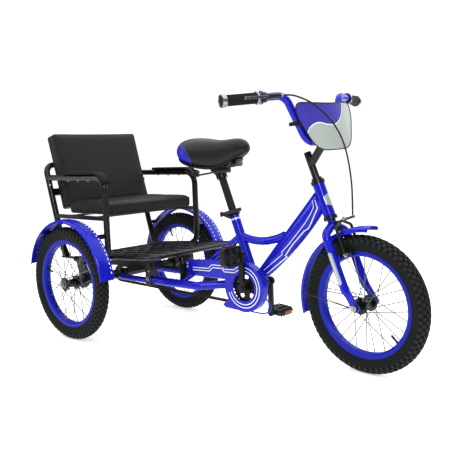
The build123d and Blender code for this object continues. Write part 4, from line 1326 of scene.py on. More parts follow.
# ---- saddle ----------------------------------------------------------------------------
@dataclass
class Saddle:
    """Padded cover on a moulded base, with wire springs."""

    stations: tuple[tuple[float, float, float, float], ...] = (
        # x, half width, foot and top of the cover, tail to nose
        (335, 32, 644, 672),
        (340, 55, 634, 686),
        (353, 72, 625, 696),
        (378, 85, 613, 700),
        (415, 82, 600, 699),
        (455, 64, 593, 694),
        (495, 46, 594, 688),
        (535, 35, 608, 691),
        (572, 30, 630, 694),
        (596, 24, 641, 686),
        (609, 14, 650, 672),
    )
    sides: int = 24

    def rib(self, x: float, half: float, foot: float, top: float, shrink: float) -> bpy.types.Object:
        """One section: flat foot, full flanks and a crowned top."""
        bpy.ops.mesh.primitive_circle_add(vertices=self.sides, radius=1.0, location=(0, 0, 0))
        rib = Bench.named("rib")
        waist = foot + (top - foot) * 0.42
        for vertex in rib.data.vertices:
            across, rise = vertex.co.x, vertex.co.y
            y = math.copysign(abs(across) ** 0.85, across) * (half - shrink)
            if rise > 0:
                z = waist + (top - waist) * rise**1.05
            else:
                z = waist - (waist - foot) * abs(rise) ** 0.6
            vertex.co = place(x, y, z)
        return rib

    def loft(
        self, name: str, shrink: float, cut: Callable[[float, float], tuple[float, float]]
    ) -> bpy.types.Object:
        """Bridge the sections into one closed skin.

        Args:
            name: the skin's name.
            shrink: how much narrower it is on each side than the cover.
            cut: gives its foot and top from the cover's.

        Returns:
            The skin's mesh.
        """
        ribs = []
        for x, half, foot, top in self.stations:
            low, high = cut(foot, top)
            ribs.append(self.rib(x, max(half, shrink + 4), low, high, shrink))
        body = Bench.join(name, ribs)
        with Bench.editing(body, "EDGE", every=True):
            bpy.ops.mesh.bridge_edge_loops()
        with Bench.editing(body, "VERT", every=True):
            bpy.ops.mesh.fill_holes(sides=self.sides)
            bpy.ops.mesh.normals_make_consistent(inside=False)
        return Bench.modify(body, "SUBSURF", levels=2, render_levels=2)

    def build(self, shop: Shop, fastener: Fastener) -> None:
        """Cover, base, springs and bolts."""
        cover = self.loft("saddle_cover", 0, lambda foot, top: (foot, top))
        shop.deliver(cover, Body.FRAME, "saddle_cover", stands_for=["saddle"], angle=80)
        base = self.loft("saddle_base", 7, lambda foot, top: (foot - 2, foot + 14))
        shop.deliver(base, Body.FRAME, "grey_base", "black_paint", angle=60)
        shop.deliver_set("saddle_springs", self.springs(), Body.FRAME, "black_paint")
        bolts = [
            fastener.put(fastener.hexagon, place(488, side * 29, 596), ACROSS * side, 1.1)
            for side, _ in SIDES
        ]
        shop.deliver_set("saddle_bolts", bolts, Body.FRAME, "gear_steel", "bright_steel")

    def springs(self) -> list[bpy.types.Object]:
        """A sprung wire loop each side, from the clamp round under the tail."""
        route = (
            (500, 14, 590), (470, 20, 582), (440, 38, 577), (414, 52, 573), (406, 56, 580),
            (414, 56, 589), (430, 53, 592), (438, 51, 585), (430, 51, 579), (418, 53, 582),
            (412, 56, 596), (404, 58, 622),
        )
        wires = [
            Bench.wire("spring", [place(x, side * y, z) for x, y, z in route], 3.0, 6)
            for side, _ in SIDES
        ]
        blocks = (
            # name, middle, size, nose-up turn in radians and rounding
            ("spring_clamp", (494, 0, 590), (34, 56, 20), 0.0, 4),
            ("nose_bracket", (552, 0, 611), (30, 46, 14), 0.25, 3),
            ("nose_hook", (568, 0, 619), (10, 30, 22), 0.5, 2),
        )
        return wires + [
            Bench.soften(Bench.cube(name, place(*middle), size, (0, turn, 0)), rounding)
            for name, middle, size, turn, rounding in blocks
        ]


# ---- drive -----------------------------------------------------------------------------
@dataclass
class Drive:
    """Chain, toothed wheels, pedals and the guard's stripes."""

    bracket: tuple[float, float] = (628.6, 217.0)
    chain_y: float = 50.0
    pitch: float = 12.7
    ring_teeth: int = 28
    sprocket_teeth: int = 14
    crank_length: float = 110.0
    pedal_y: float = 123.0
    pedal_turns: tuple[float, float] = (84.0, 6.0)
    guard_y: float = 62.0
    guard_x: float = 623.6

    def pitch_radius(self, teeth: int) -> float:
        """Radius of the chain's line round a toothed wheel, in millimetres."""
        return self.pitch / 2 / math.sin(math.pi / teeth)

    def build(self, shop: Shop, fastener: Fastener) -> None:
        """Everything that drives, and what dresses the guard."""
        shop.deliver(self.chain(), Body.FRAME, "chain_steel", stands_for=["chain"], angle=40)
        ring = self.teeth("chainring_teeth", self.ring_teeth, self.bracket, 7.5)
        shop.deliver(ring, Body.CRANK, "gear_steel", "chain_steel", angle=30)
        sprocket = self.teeth("sprocket_teeth", self.sprocket_teeth, (0.0, AXLE_Z), 7.5)
        shop.deliver(sprocket, Body.SPROCKET, "chain_steel", angle=30)
        self.crank_dress(shop)
        for (side, name), turn in zip(SIDES, self.pedal_turns):
            self.pedal(shop, side, name, turn)
        self.guard_dress(shop, fastener)

    def path(self, count: int) -> list[Vector]:
        """Pin places round both toothed wheels, one pitch apart, in the guard's plane."""
        big, small = self.pitch_radius(self.ring_teeth), self.pitch_radius(self.sprocket_teeth)
        ring, sprocket = Vector(self.bracket), Vector((0, AXLE_Z))
        run = ring - sprocket
        tilt = math.atan2(run.y, run.x)
        wrap = math.acos((big - small) / run.length)
        straight = math.sqrt(run.length**2 - (big - small) ** 2)
        round_ring, round_sprocket = 2 * wrap * big, (TURN - 2 * wrap) * small
        top, bottom = tilt + wrap, tilt - wrap

        def rim(middle: Vector, radius: float, angle: float) -> Vector:
            """A point on a toothed wheel's pitch circle."""
            return middle + Vector((math.cos(angle), math.sin(angle))) * radius

        spots = []
        for index in range(count):
            left = index / count * (2 * straight + round_ring + round_sprocket)
            if left < straight:
                spot = rim(sprocket, small, top).lerp(rim(ring, big, top), left / straight)
            elif (left := left - straight) < round_ring:
                spot = rim(ring, big, top - left / big)
            elif (left := left - round_ring) < straight:
                spot = rim(ring, big, bottom).lerp(rim(sprocket, small, bottom), left / straight)
            else:
                spot = rim(sprocket, small, bottom - (left - straight) / small)
            spots.append(place(spot.x, -self.chain_y, spot.y))
        return spots

    def link(self, name: str, half_width: float) -> bpy.types.Object:
        """Two waisted side plates about the origin, one pitch between their pins."""
        plates = []
        for side, _ in SIDES:
            size = (self.pitch + 8.8, 1.2, 8.8)
            plate = Bench.cube("plate", ACROSS * side * half_width * MM, size)
            with Bench.editing(plate, "EDGE", every=True):
                bpy.ops.mesh.select_all(action="DESELECT")
            Bench.choose_edges(plate, lambda run: abs(run.y) > 0.5 * MM)
            with Bench.editing(plate, "EDGE"):
                bpy.ops.mesh.bevel(offset=4.1 * MM, segments=3)
            plates.append(plate)
        return Bench.join(name, plates)

    def chain(self) -> bpy.types.Object:
        """Outer and inner links in turn, with a roller at each pin."""
        big, small = self.pitch_radius(self.ring_teeth), self.pitch_radius(self.sprocket_teeth)
        length = 2 * self.bracket[0] + math.pi * (big + small)
        count = 2 * round(length / self.pitch / 2)
        pins = self.path(count)
        outer, inner = self.link("outer_link", 3.4), self.link("inner_link", 2.2)
        roller = Bench.rod("roller", ACROSS * -4 * MM, ACROSS * 4 * MM, 2.6, 10)
        pieces = []
        for index, pin in enumerate(pins):
            after = pins[(index + 1) % count]
            run = after - pin
            turn = Matrix.Rotation(math.atan2(-run.z, run.x), 4, "Y")
            kind = outer if index % 2 else inner
            pieces.append(Bench.copy(kind, Matrix.Translation((pin + after) / 2) @ turn))
            pieces.append(Bench.copy(roller, Matrix.Translation(pin)))
        for pattern in (outer, inner, roller):
            bpy.data.objects.remove(pattern)
        return Bench.join("roller_chain", pieces)

    def teeth(self, name: str, count: int, middle: tuple[float, float], depth: float) -> bpy.types.Object:
        """A toothed ring that meshes with the chain."""
        root = self.pitch_radius(count) - 3.8
        bpy.ops.mesh.primitive_circle_add(vertices=count * 4, radius=root * MM, rotation=(QUARTER, 0, 0))
        ring = Bench.named(name)
        for index, vertex in enumerate(ring.data.vertices):
            if index % 4 in (1, 2):
                vertex.co *= (root + 6.4) / root
            if index % 4 == 1:
                near = ring.data.vertices[index + 1].co
                vertex.co += (near.normalized() * vertex.co.length - vertex.co) * 0.28
        with Bench.editing(ring, "EDGE", every=True):
            bpy.ops.mesh.extrude_edges_move()
            bpy.ops.transform.resize(value=(0.0, 1.0, 0.0))
            bpy.ops.mesh.remove_doubles(threshold=1e-6)
        inner = (root - depth) / root
        Bench.choose(ring, lambda spot, _: spot.length < 1e-5, "VERT")
        with Bench.editing(ring, "VERT"):
            bpy.ops.mesh.bevel(
                offset_type="ABSOLUTE", offset=root * inner * MM, segments=1, affect="VERTICES"
            )
        Bench.choose(ring, lambda spot, _: spot.length < 0.2 * root * MM)
        with Bench.editing(ring):
            bpy.ops.mesh.delete(type="FACE")
        Bench.modify(ring, "SOLIDIFY", thickness=2.0 * MM, offset=0.0)
        return Bench.move(ring, Matrix.Translation(place(middle[0], -self.chain_y, middle[1])))

    def crank_dress(self, shop: Shop) -> None:
        """Caps on the crank's ends, the chainring's rim and its bolts."""
        x, z = self.bracket
        pieces = []
        for side, _ in SIDES:
            cap = Bench.rod("cap", place(x, side * 77.5, z), place(x, side * 81.5, z), 9.5, 24, 7.5)
            end = place(x, side * 78.5, z - side * self.crank_length)
            boss = Bench.rod("boss", end, end - ACROSS * side * 4 * MM, 9.0, 24)
            pieces += [Bench.soften(cap, 0.8), Bench.soften(boss, 0.8)]
        for index in range(5):
            angle = math.radians(index * 72 + 36)
            spot = place(x + 24 * math.cos(angle), -53.5, z + 24 * math.sin(angle))
            pieces.append(Bench.rod("ring_bolt", spot, spot + ACROSS * 4 * MM, 3.2, 6))
        shop.deliver_set("crank_caps", pieces, Body.CRANK, "gear_steel", "black_paint")

    def pedal(self, shop: Shop, side: int, name: str, turn: float) -> None:
        """A moulded pedal: frame, ribs, pockets and a reflector front and rear."""
        barrel = Bench.rod("barrel", ACROSS * -41.5 * MM, ACROSS * 41.5 * MM, 8.5, 24)
        pieces, lenses = [self.pedal_ring(), Bench.soften(barrel, 1.0)], []
        for y in (-14, 14):
            pieces.append(Bench.soften(Bench.cube("bar", ACROSS * y * MM, (52, 15, 16)), 2.4))
        for end in (-1, 1):
            for y in range(-27, 28, 9):
                stud = Bench.cube("stud", Vector((end * 26.2, y, 0)) * MM, (4.0, 3.4, 25.6))
                pieces.append(Bench.soften(stud, 0.8, 1))
            for z in (-6.2, 6.2):
                frame = Bench.cube("lens_frame", Vector((end * 31.5, 0, z)) * MM, (4.0, 46, 3.0))
                pieces.append(Bench.soften(frame, 0.6, 1))
            lens = Bench.cube("lens", FORWARD * end * 32.2 * MM, (4.0, 35, 9.5))
            lenses.append(Bench.soften(lens, 0.6, 2))
        centre = place(self.bracket[0], side * self.pedal_y, self.bracket[1] - side * self.crank_length)
        move = Matrix.Translation(centre) @ Matrix.Rotation(math.radians(turn), 4, "Y")
        body = Body.RIGHT_PEDAL if side < 0 else Body.LEFT_PEDAL
        shop.deliver_set(
            f"{name}_pedal_body", pieces, body, "pedal_plastic", stands_for=[f"{name}_pedal"], move=move
        )
        shop.deliver_set(f"{name}_pedal_lenses", lenses, body, "amber_lens", "pedal_plastic", move=move)
        inner, outer = (centre - ACROSS * side * off * MM for off in (45.5, 39.5))
        shop.deliver(Bench.rod(f"{name}_pedal_axle", inner, outer, 6.5, 20), body, "bright_steel")

    @staticmethod
    def pedal_ring() -> bpy.types.Object:
        """The pedal's open frame, rounded at its corners."""
        ring = Bench.cube("ring", ORIGIN, (61, 84, 23))
        Bench.choose_edges(ring, lambda run: abs(run.z) > 10 * MM)
        with Bench.editing(ring, "EDGE"):
            bpy.ops.mesh.bevel(offset=15 * MM, segments=6)
        Bench.choose(ring, lambda _, normal: abs(normal.z) > 0.9)
        with Bench.editing(ring):
            bpy.ops.mesh.inset(thickness=6.5 * MM, use_individual=True)
            bpy.ops.mesh.bridge_edge_loops()
        Bench.tidy(ring)
        return Bench.soften(ring, 2.2, 2)

    def guard_dress(self, shop: Shop, fastener: Fastener) -> None:
        """Stripes on the guard's face, its bolt and its wire hanger."""
        y = -(self.guard_y + 0.25)
        seat = Matrix.Translation(place(self.guard_x, y, self.bracket[1])) @ wheelwise(106)
        pieces = []
        for radius in (55.5, 66.0):
            section = ((0, radius - 1.5), (0, radius + 1.5))
            ring = Bench.lathe("ring_stripe", section, 90, math.radians(266))
            pieces.append(Bench.move(ring, seat))
        upper = (
            (402, 263), (474, 266), (488, 279), (531, 280),
            (543, 269), (585, 271), (602, 282), (608, 281),
        )
        lower = (
            (401, 254.5), (478, 257.5), (493, 270), (533, 271),
            (545, 260.5), (588, 262), (604, 272), (606, 270),
        )
        for route, width in ((upper, 2.8), (lower, 3.0)):
            pieces.extend(stripe([place(x, y, z) for x, z in route], width))
        stripes = Bench.join("guard_stripes", pieces)
        Bench.modify(stripes, "SOLIDIFY", thickness=0.3 * MM, offset=0.0)
        shop.deliver(stripes, Body.FRAME, "silver_transfer", "blue_paint")
        bolts = [
            fastener.put(fastener.dome, place(374, -self.guard_y - 0.2, z), -ACROSS, 1.1)
            for z in (263, 275)
        ]
        shop.deliver_set("guard_bolts", bolts, Body.FRAME, "bright_steel")
        route = (
            (650, -58, 142), (664, -50, 139), (684, -42, 136), (706, -34, 142),
            (708, -28, 158), (690, -24, 176), (664, -22, 204),
        )
        hanger = Bench.wire("guard_hanger", [place(*spot) for spot in route], 2.4, 8)
        shop.deliver(hanger, Body.FRAME, "blue_paint")


def stripe(route: Sequence[Vector], width: float) -> list[bpy.types.Object]:
    """Flat strips along a route in an upright plane, one for each run.

    Args:
        route: the route's corners, all at one y.
        width: the strips' width in millimetres.

    Returns:
        The strips, each cut into short lengths so that it can be pressed onto a curve.
    """
    strips = []
    for start, end in zip(route, route[1:]):
        run = end - start
        angle = math.atan2(run.z, run.x)
        length = run.length + width * 0.4 * MM
        bpy.ops.mesh.primitive_grid_add(
            x_subdivisions=max(2, round(length / (6 * MM))),
            y_subdivisions=2,
            size=1,
            location=(start + end) / 2,
            rotation=(QUARTER, -angle, 0),
        )
        strips.append(Bench.named("strip", (length, width * MM, 1)))
    return strips


# ---- frame and mudguards ---------------------------------------------------------------
@dataclass
class FrameTrim:
    """Pinstripes, the seat tube's band, the rack's strips and the frame's bolts."""

    rack_ends: tuple[float, float] = (-48.0, 368.0)
    rack_rear_z: float = 281.0
    rack_tilt: float = 4.25
    strip_places: tuple[float, ...] = (-153.0, -92.0, -31.0, 31.0, 92.0, 153.0)
    strip_width: float = 24.0
    outer: tuple[tuple[float, float], ...] = (
        (874, 499), (881, 477), (857, 433), (844, 413), (832, 406),
        (785, 358), (757, 324), (760, 320), (682, 260),
    )
    inner: tuple[tuple[float, float], ...] = (
        (864, 497), (869, 479), (857, 457), (836, 428), (800, 388),
        (771, 357), (748, 335), (749, 328), (674, 271),
    )

    def build(self, shop: Shop, fastener: Fastener, nodes: dict[str, bpy.types.Object]) -> None:
        """Press the stripes on both flanks and add the band and bolts."""
        frame = nodes["main_frame"]
        strips = []
        for side, _ in SIDES:
            for route, width in ((self.outer, 2.6), (self.inner, 2.0)):
                flank = Bench.join("flank", stripe([place(x, side * 40, z) for x, z in route], width))
                strips.append(Bench.press(flank, frame, side, 0.3))
        shop.deliver_set("down_tube_stripes", strips, Body.FRAME, "silver_transfer", "blue_paint")
        self.band(shop)
        self.rack_strips(shop, fastener)
        bolts = [
            fastener.put(fastener.hexagon, place(x, side * y, z), ACROSS * side, size)
            for side, _ in SIDES
            for x, y, z, size in ((222, 110.5, 212, 0.9), (229, 110.5, 241, 0.6), (60, 106, 202, 0.7))
        ]
        route = ((500, -12, 440), (507, -28, 443), (545, -34, 453), (592, -22, 465))
        handle = Bench.wire("post_lever", [place(*spot) for spot in route], 6.0, 8)
        flat = about(place(545, -26, 453), Matrix.Diagonal((1, 0.55, 1, 1)))
        shop.deliver(handle, Body.FRAME, "black_paint", move=flat)
        shop.deliver_set("frame_bolts", bolts, Body.FRAME, "bright_steel")

    def rack_strips(self, shop: Shop, fastener: Fastener) -> None:
        """Rolled strips that run the rack's length over its cross slats, with rivets."""
        slope = math.radians(self.rack_tilt)
        length = (self.rack_ends[1] - self.rack_ends[0] - 8) / math.cos(slope)
        middle_x = sum(self.rack_ends) / 2
        middle_z = self.rack_rear_z + (middle_x - self.rack_ends[0]) * math.tan(slope)
        strips, rivets = [], []
        for y in self.strip_places:
            strip = Bench.cube("strip", Vector((0, y, 0)) * MM, (length, self.strip_width, 2.0))
            Bench.choose(strip, lambda _, normal: normal.z > 0.9)
            with Bench.editing(strip):
                bpy.ops.mesh.inset(thickness=3.0 * MM, depth=1.6 * MM)
            Bench.soften(strip, 1.0, 2)
            strips.append(strip)
            for x in (-180, 0, 180):
                rivets.append(fastener.put(fastener.dome, Vector((x, y, 2.3)) * MM, UP, 0.6))
        move = Matrix.Translation(place(middle_x, 0, middle_z + 4.4)) @ Matrix.Rotation(-slope, 4, "Y")
        shop.deliver_set("rack_strips", strips, Body.FRAME, "black_paint", move=move)
        shop.deliver_set("rack_rivets", rivets, Body.FRAME, "gear_steel", "bright_steel", move=move)

    @staticmethod
    def band(shop: Shop) -> None:
        """Pale band round the seat tube."""
        lean = math.radians(21.2)
        along = Vector((-math.sin(lean), 0, math.cos(lean)))
        foot = place(628.6, 0, 217) + along * (428 - 217) / along.z * MM
        band = Bench.lathe("seat_tube_band", ((-3, 16.0), (-3, 16.5), (3, 16.5), (3, 16.0)))
        move = aimed(foot, along, "Y", "Z")
        shop.deliver(band, Body.FRAME, "pale_transfer", "blue_paint", move=move)


@dataclass
class Mudguard:
    """One ribbed mudguard strip."""

    name: str
    middle: Point
    radius: float
    half: float
    start: float
    end: float
    body: Body
    nodes: tuple[str, ...]
    drop: float = 6.0
    skirt: float = 5.0
    flare: float = 0.0
    flare_from: float = 112.0
    # places across the crown of the rows of white dashes, which are painted highlights
    rows: tuple[float, ...] = ()

    def profile(self) -> list[tuple[float, float]]:
        """Section across the crown: rolled lips, two beads and three fine ribs."""
        lip, edge = self.radius - self.drop - self.skirt, self.radius - self.drop - 1.2
        ribs = (
            # place across the strip, width and rise
            (0.0, 2.2, 0.8), (0.28, 1.6, 0.6), (-0.28, 1.6, 0.6), (0.84, 2.6, 1.0), (-0.84, 2.6, 1.0),
        )
        points = [(-self.half - 0.4, lip), (-self.half - 0.2, edge)]
        steps = 72
        for index in range(steps + 1):
            y = -self.half + 2 * self.half * index / steps
            out = self.crown(y)
            for rib, width, rise in ribs:
                out += rise * math.exp(-(((y - rib * self.half) / width) ** 2))
            points.append((y, out))
        return [*points, (self.half + 0.2, edge), (self.half + 0.4, lip)]

    def crown(self, y: float) -> float:
        """How far from the wheel's axle the plain crown stands, y off its middle."""
        return self.radius - self.drop * abs(y / self.half) ** 2.4

    def seat(self) -> Matrix:
        """Takes a strip spun from the top forwards to its place."""
        move = Matrix.Translation(place(*self.middle))
        return STEERING.turned() @ move if self.body is Body.STEERING else move

    def build(self, shop: Shop) -> None:
        """Spin the strip, give it thickness and set out its white dashes, painted highlights for glints
        on the crown.
        """
        sweep = math.radians(self.end - self.start)
        strip = Bench.lathe(self.name, self.profile(), 72, sweep)
        Bench.move(strip, wheelwise(self.end))
        if self.flare:
            self.raise_tongue(strip)
        Bench.modify(strip, "SOLIDIFY", thickness=1.3 * MM, offset=self.inward(strip))
        shop.deliver(
            strip, self.body, "blue_paint", stands_for=self.nodes, angle=50, move=self.seat()
        )
        # painted highlights: white dashes where glints fall on the crown
        if self.rows:
            shop.deliver(self.glint_dashes(), self.body, "white_enamel", "blue_paint")

    def raise_tongue(self, strip: bpy.types.Object) -> None:
        """Ease the strip's front end outwards, more towards its tip."""
        for vertex in strip.data.vertices:
            angle = math.degrees(math.atan2(vertex.co.z, vertex.co.x)) % 360
            share = max(0.0, (self.flare_from - angle) / (self.flare_from - self.start))
            out = Vector((vertex.co.x, 0, vertex.co.z))
            vertex.co += out.normalized() * self.flare * share**1.3 * MM

    def inward(self, strip: bpy.types.Object) -> float:
        """Which way solidify must go so that the wall grows towards the wheel."""
        face = max(strip.data.polygons, key=lambda face: face.center.xz.length)
        return -1.0 if face.normal.xz.dot(face.center.xz) > 0 else 1.0

    def glint_dashes(self) -> bpy.types.Object:
        """Rows of raised white dashes along the crown: painted highlights where glints fall."""
        step = math.degrees(16.0 / self.radius)
        count = int((self.end - self.start - 6) / step)
        rows = []
        for y in self.rows:
            spot = Vector((0, y, self.crown(y) + 0.3)) * MM
            bpy.ops.mesh.primitive_uv_sphere_add(segments=12, ring_count=8, radius=MM, location=spot)
            dash = Bench.move(Bench.named("dash", (4.3, 2.0, 0.9)), wheelwise(self.end - 4))
            rows.append(Bench.around(dash, count, Matrix.Rotation(math.radians(step), 4, "Y")))
        return Bench.move(Bench.join(f"{self.name}_dashes", rows), self.seat())


MUDGUARDS = (
    Mudguard(
        "right_mudguard", (10.0, -286.0, AXLE_Z + 14.0), 216.6, 28.5, 5.0, 168.0, Body.FRAME,
        ("rear_right_fender",), rows=(17.5,),
    ),
    Mudguard(
        "left_mudguard", (10.0, 286.0, AXLE_Z + 14.0), 216.6, 28.5, 5.0, 168.0, Body.FRAME,
        ("rear_left_fender",), rows=(-17.5, 12.0),
    ),
    Mudguard(
        "front_mudguard", (1027.5, 0.0, AXLE_Z), 220.0, 27.0, 82.0, 194.0, Body.STEERING,
        ("front_fender",), skirt=9.0, flare=10.5,
    ),
)


# ---- handlebar and fork ----------------------------------------------------------------
@dataclass
class Cockpit:
    """Brake cable, grips, lever, plate dressing, head badge and fork transfers."""

    grip_tip: Point = (803.0, 309.0, 792.0)
    grip_root: Point = (865.0, 125.0, 803.0)
    grip_start: float = 190.0
    grip_radius: float = 15.0
    grip_trim: float = 12.0
    plate_corners: tuple[tuple[float, float, float], ...] = (
        # across, up the plate, and how much of each side its corner takes
        (-123, 136, 22), (-129, 100, 24), (-80, -6, 44), (80, -6, 44),
        (129, 100, 24), (123, 136, 22), (0, 128, 50),
    )
    plate_bow: float = 1100.0
    plate_lead: float = 28.0
    cable_diameter: float = 5.0
    cable_length: float = 469.6
    lever_ahead: Vector = field(default_factory=lambda: Vector((0.93, 0, 0.02)))

    def hand(self, side: int) -> tuple[Vector, Vector]:
        """A grip's outer end and its direction outwards."""
        tip = place(self.grip_tip[0], side * self.grip_tip[1], self.grip_tip[2])
        root = place(self.grip_root[0], side * self.grip_root[1], self.grip_root[2])
        return tip, (tip - root).normalized()

    def lever_mount(self) -> tuple[Vector, Vector]:
        """Where the brake lever clamps the bar, and the direction outwards."""
        tip, outward = self.hand(-1)
        return tip - outward * (self.grip_tip[1] - self.grip_start + 16) * MM, outward

    def build_cable(self, shop: Shop) -> None:
        """The brake cable as one free line from the lever to the caliper."""
        mount, outward = self.lever_mount()
        start = mount + self.lever_ahead * 31 * MM - outward * 22.2 * MM
        arm = STEERING.point(-22, forward=39.5, side=50) + UP * 4.3 * MM
        bends = (
            (903, -107, 796), (924, -80, 779), (941, -50, 752), (954, -20, 717), (957, 14, 672),
            (958, 35, 618), (959, 47, 555), (959, 50, 500),
        )
        leaving = start - outward * 24 * MM + Vector((2, 0, 1)) * MM
        turned = STEERING.turned()
        route = [turned @ point for point in (start, leaving, *(place(*spot) for spot in bends), arm)]
        cable = Bench.line("brake_line", route, self.cable_diameter / 2, 24, facets=5)
        cable.data.materials.append(shop.finishes["cable_sheath"])
        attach(cable, Body.STEERING.value)
        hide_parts("brake_cable")

    def build(self, shop: Shop, fastener: Fastener, nodes: dict[str, bpy.types.Object]) -> None:
        """Everything that turns with the handlebar."""
        for side, name in SIDES:
            self.grip(shop, side, name)
        self.lever(shop)
        self.plate_rim(shop)
        self.fork_dress(shop, fastener, nodes)
        self.badge(shop)

    def grip(self, shop: Shop, side: int, name: str) -> None:
        """A ribbed rubber grip with a flange, a bright end ring and a cap."""
        tip, outward = self.hand(side)
        move = STEERING.turned() @ aimed(tip, outward, "Y", "Z")
        length = self.grip_tip[1] - self.grip_start - self.grip_trim
        r = self.grip_radius
        sleeve = (
            (-length, 11.3), (-length, r + 1.4), (-length + 1, r + 2.2), (-length + 4, r + 2.2),
            (-length + 5.5, r + 0.6), (-length + 8, r - 0.9), (-8, r - 0.9), (-6, r + 0.6),
            (-2, r + 0.6), (-2, 11.3),
        )
        end_ring = (
            (-9, r + 0.2), (-9, r + 2.2), (-8, r + 3.0), (-2, r + 3.4), (2.6, r + 3.4),
            (4.0, r + 2.2), (4.0, r - 0.6), (2.0, r - 1.4), (-2, r - 1.4),
        )
        plug = ((-2, r - 0.8), (2.2, r - 0.8), (3.2, r - 3), (2.6, 5), (2.4, 0.01))
        rib_middle = Vector((0, -length / 2 - 0.5, r - 0.6)) * MM
        rib = Bench.soften(Bench.cube("rib", rib_middle, (2.2, length - 18, 1.6)), 0.5, 1)
        Bench.around(rib, 20, Matrix.Rotation(TURN / 20, 4, "Y"))
        grip = Bench.join(f"{name}_grip", [Bench.lathe(f"{name}_grip", sleeve), rib])
        ring = Bench.lathe(f"{name}_grip_ring", end_ring)
        cap = Bench.lathe(f"{name}_grip_plug", plug, 40)
        collar = Bench.ring(f"{name}_grip_collar", ACROSS * (-length + 2.2) * MM, r + 0.8, 3.0)
        stands_for = ["grips"] if side < 0 else []
        shop.deliver(grip, Body.STEERING, "grip_rubber", stands_for=stands_for, move=move)
        for piece, finish in ((ring, "bright_steel"), (cap, "grip_rubber"), (collar, "bright_steel")):
            shop.deliver(piece, Body.STEERING, finish, move=move)

    def lever(self, shop: Shop) -> None:
        """Brake lever: clamp, perch, bright barrel and a blade with a curl at its end."""
        mount, outward = self.lever_mount()
        turned, ahead = STEERING.turned(), self.lever_ahead
        body, out = mount + ahead * 31 * MM, outward * self.grip_trim * MM
        section = ((-7, 11.3), (-7, 14.0), (-6, 15.0), (6, 15.0), (7, 14.0), (7, 11.3))
        clamp = Bench.move(Bench.lathe("clamp", section, 40), aimed(mount + out * 0.8, outward, "Y", "Z"))
        perch = Bench.soften(Bench.rod("perch", mount + out, body + out, 8.0, 20, 7.0), 1.0)
        housing = Bench.rod("housing", body - outward * 20 * MM, body + outward * 26 * MM, 7.6, 24)
        line = (
            # outwards along the lever, and ahead of it
            (16, 0), (26, 6), (40, 9), (60, 9), (84, 9), (100, 12), (108, 18),
        )
        blade = Bench.wire(
            "blade", [body + (outward * along + ahead * lead) * MM for along, lead in line], 5.2
        )
        Bench.move(blade, about(body, Matrix.Diagonal((1, 1, 0.72, 1))))
        shop.deliver_set(
            "brake_lever_set", [clamp, perch, Bench.soften(housing, 1.6, 3), blade], Body.STEERING,
            "black_paint", stands_for=["brake_lever"], move=turned,
        )
        barrel = Bench.rod("barrel", body - outward * 19 * MM, body - outward * 29 * MM, 5.6, 12, 4.0)
        screw = Bench.rod("screw", body + UP * 6 * MM, body + UP * 9.5 * MM, 4.4, 20)
        bright = [Bench.soften(barrel, 0.6), Bench.soften(screw, 0.6)]
        for rise in (0.95, -0.95):
            way, foot = Vector((0.3, 0, rise)), mount + out * 1.7
            pinch = Bench.rod("pinch", foot + way * 11 * MM, foot + way * 19.5 * MM, 6.2, 16, 5.4)
            bright.append(Bench.soften(pinch, 0.8))
        shop.deliver_set("lever_bright", bright, Body.STEERING, "bright_steel", move=turned)

    def on_plate(self, across: float, rise: float) -> Vector:
        """A point of the plate's bowed face, from millimetres across and up it."""
        foot, upward, ahead = plate_axes()
        bow = self.plate_lead - across**2 / self.plate_bow
        return foot + (upward * rise + ahead * bow + ACROSS * across) * MM

    def plate_outline(self) -> list[tuple[float, float]]:
        """The plate's outline, each corner rounded by a parabola."""
        corners = [Vector(corner[:2]) for corner in self.plate_corners]
        spots = []
        for index, corner in enumerate(corners):
            take = self.plate_corners[index][2]
            before, after = corners[index - 1], corners[(index + 1) % len(corners)]
            start = corner + (before - corner).normalized() * min(take, (before - corner).length / 2)
            end = corner + (after - corner).normalized() * min(take, (after - corner).length / 2)
            for step in range(7):
                share = step / 6
                spot = start * (1 - share) ** 2 + corner * 2 * share * (1 - share) + end * share**2
                spots.append((spot.x, spot.y))
        apart = (math.dist(spot, before) > 0.5 for spot, before in zip(spots, [spots[-1], *spots]))
        return [spot for spot, kept in zip(spots, apart) if kept]

    def plate_rim(self, shop: Shop) -> None:
        """The bowed plate with its dark moulded edge, and the knobs behind its straps."""
        outline, turned = self.plate_outline(), STEERING.turned()
        closed = [Vector((x, y, 0)) * MM for x, y in [*outline, outline[0]]]
        sheet = Bench.sheet("number_plate", closed, FORWARD, range(-120, 121, 8))
        for vertex in sheet.data.vertices:
            vertex.co = self.on_plate(vertex.co.x / MM, vertex.co.y / MM)
        Bench.tidy(sheet)
        Bench.modify(sheet, "SOLIDIFY", thickness=2.4 * MM, offset=-1.0)
        shop.deliver(sheet, Body.STEERING, "plate_plastic", stands_for=["front_plate"], move=turned)
        rim = Bench.wire("plate_edge", [self.on_plate(*spot) for spot in outline], 1.7, 3, loop=True)
        shop.deliver(rim, Body.STEERING, "bracket_plastic", move=turned)
        knobs = []
        for side, _ in SIDES:
            y = side * 99
            knob = Bench.rod("knob", place(880, y, 726.5), place(862, y, 723.5), 4.2, 16)
            cap = Bench.rod("cap", place(866, y, 724), place(857, y, 722.5), 6.4, 20, 5.4)
            knobs += [Bench.soften(knob, 0.6, 1), Bench.soften(cap, 1.0)]
        shop.deliver_set("plate_knobs", knobs, Body.STEERING, "bracket_plastic", move=turned)

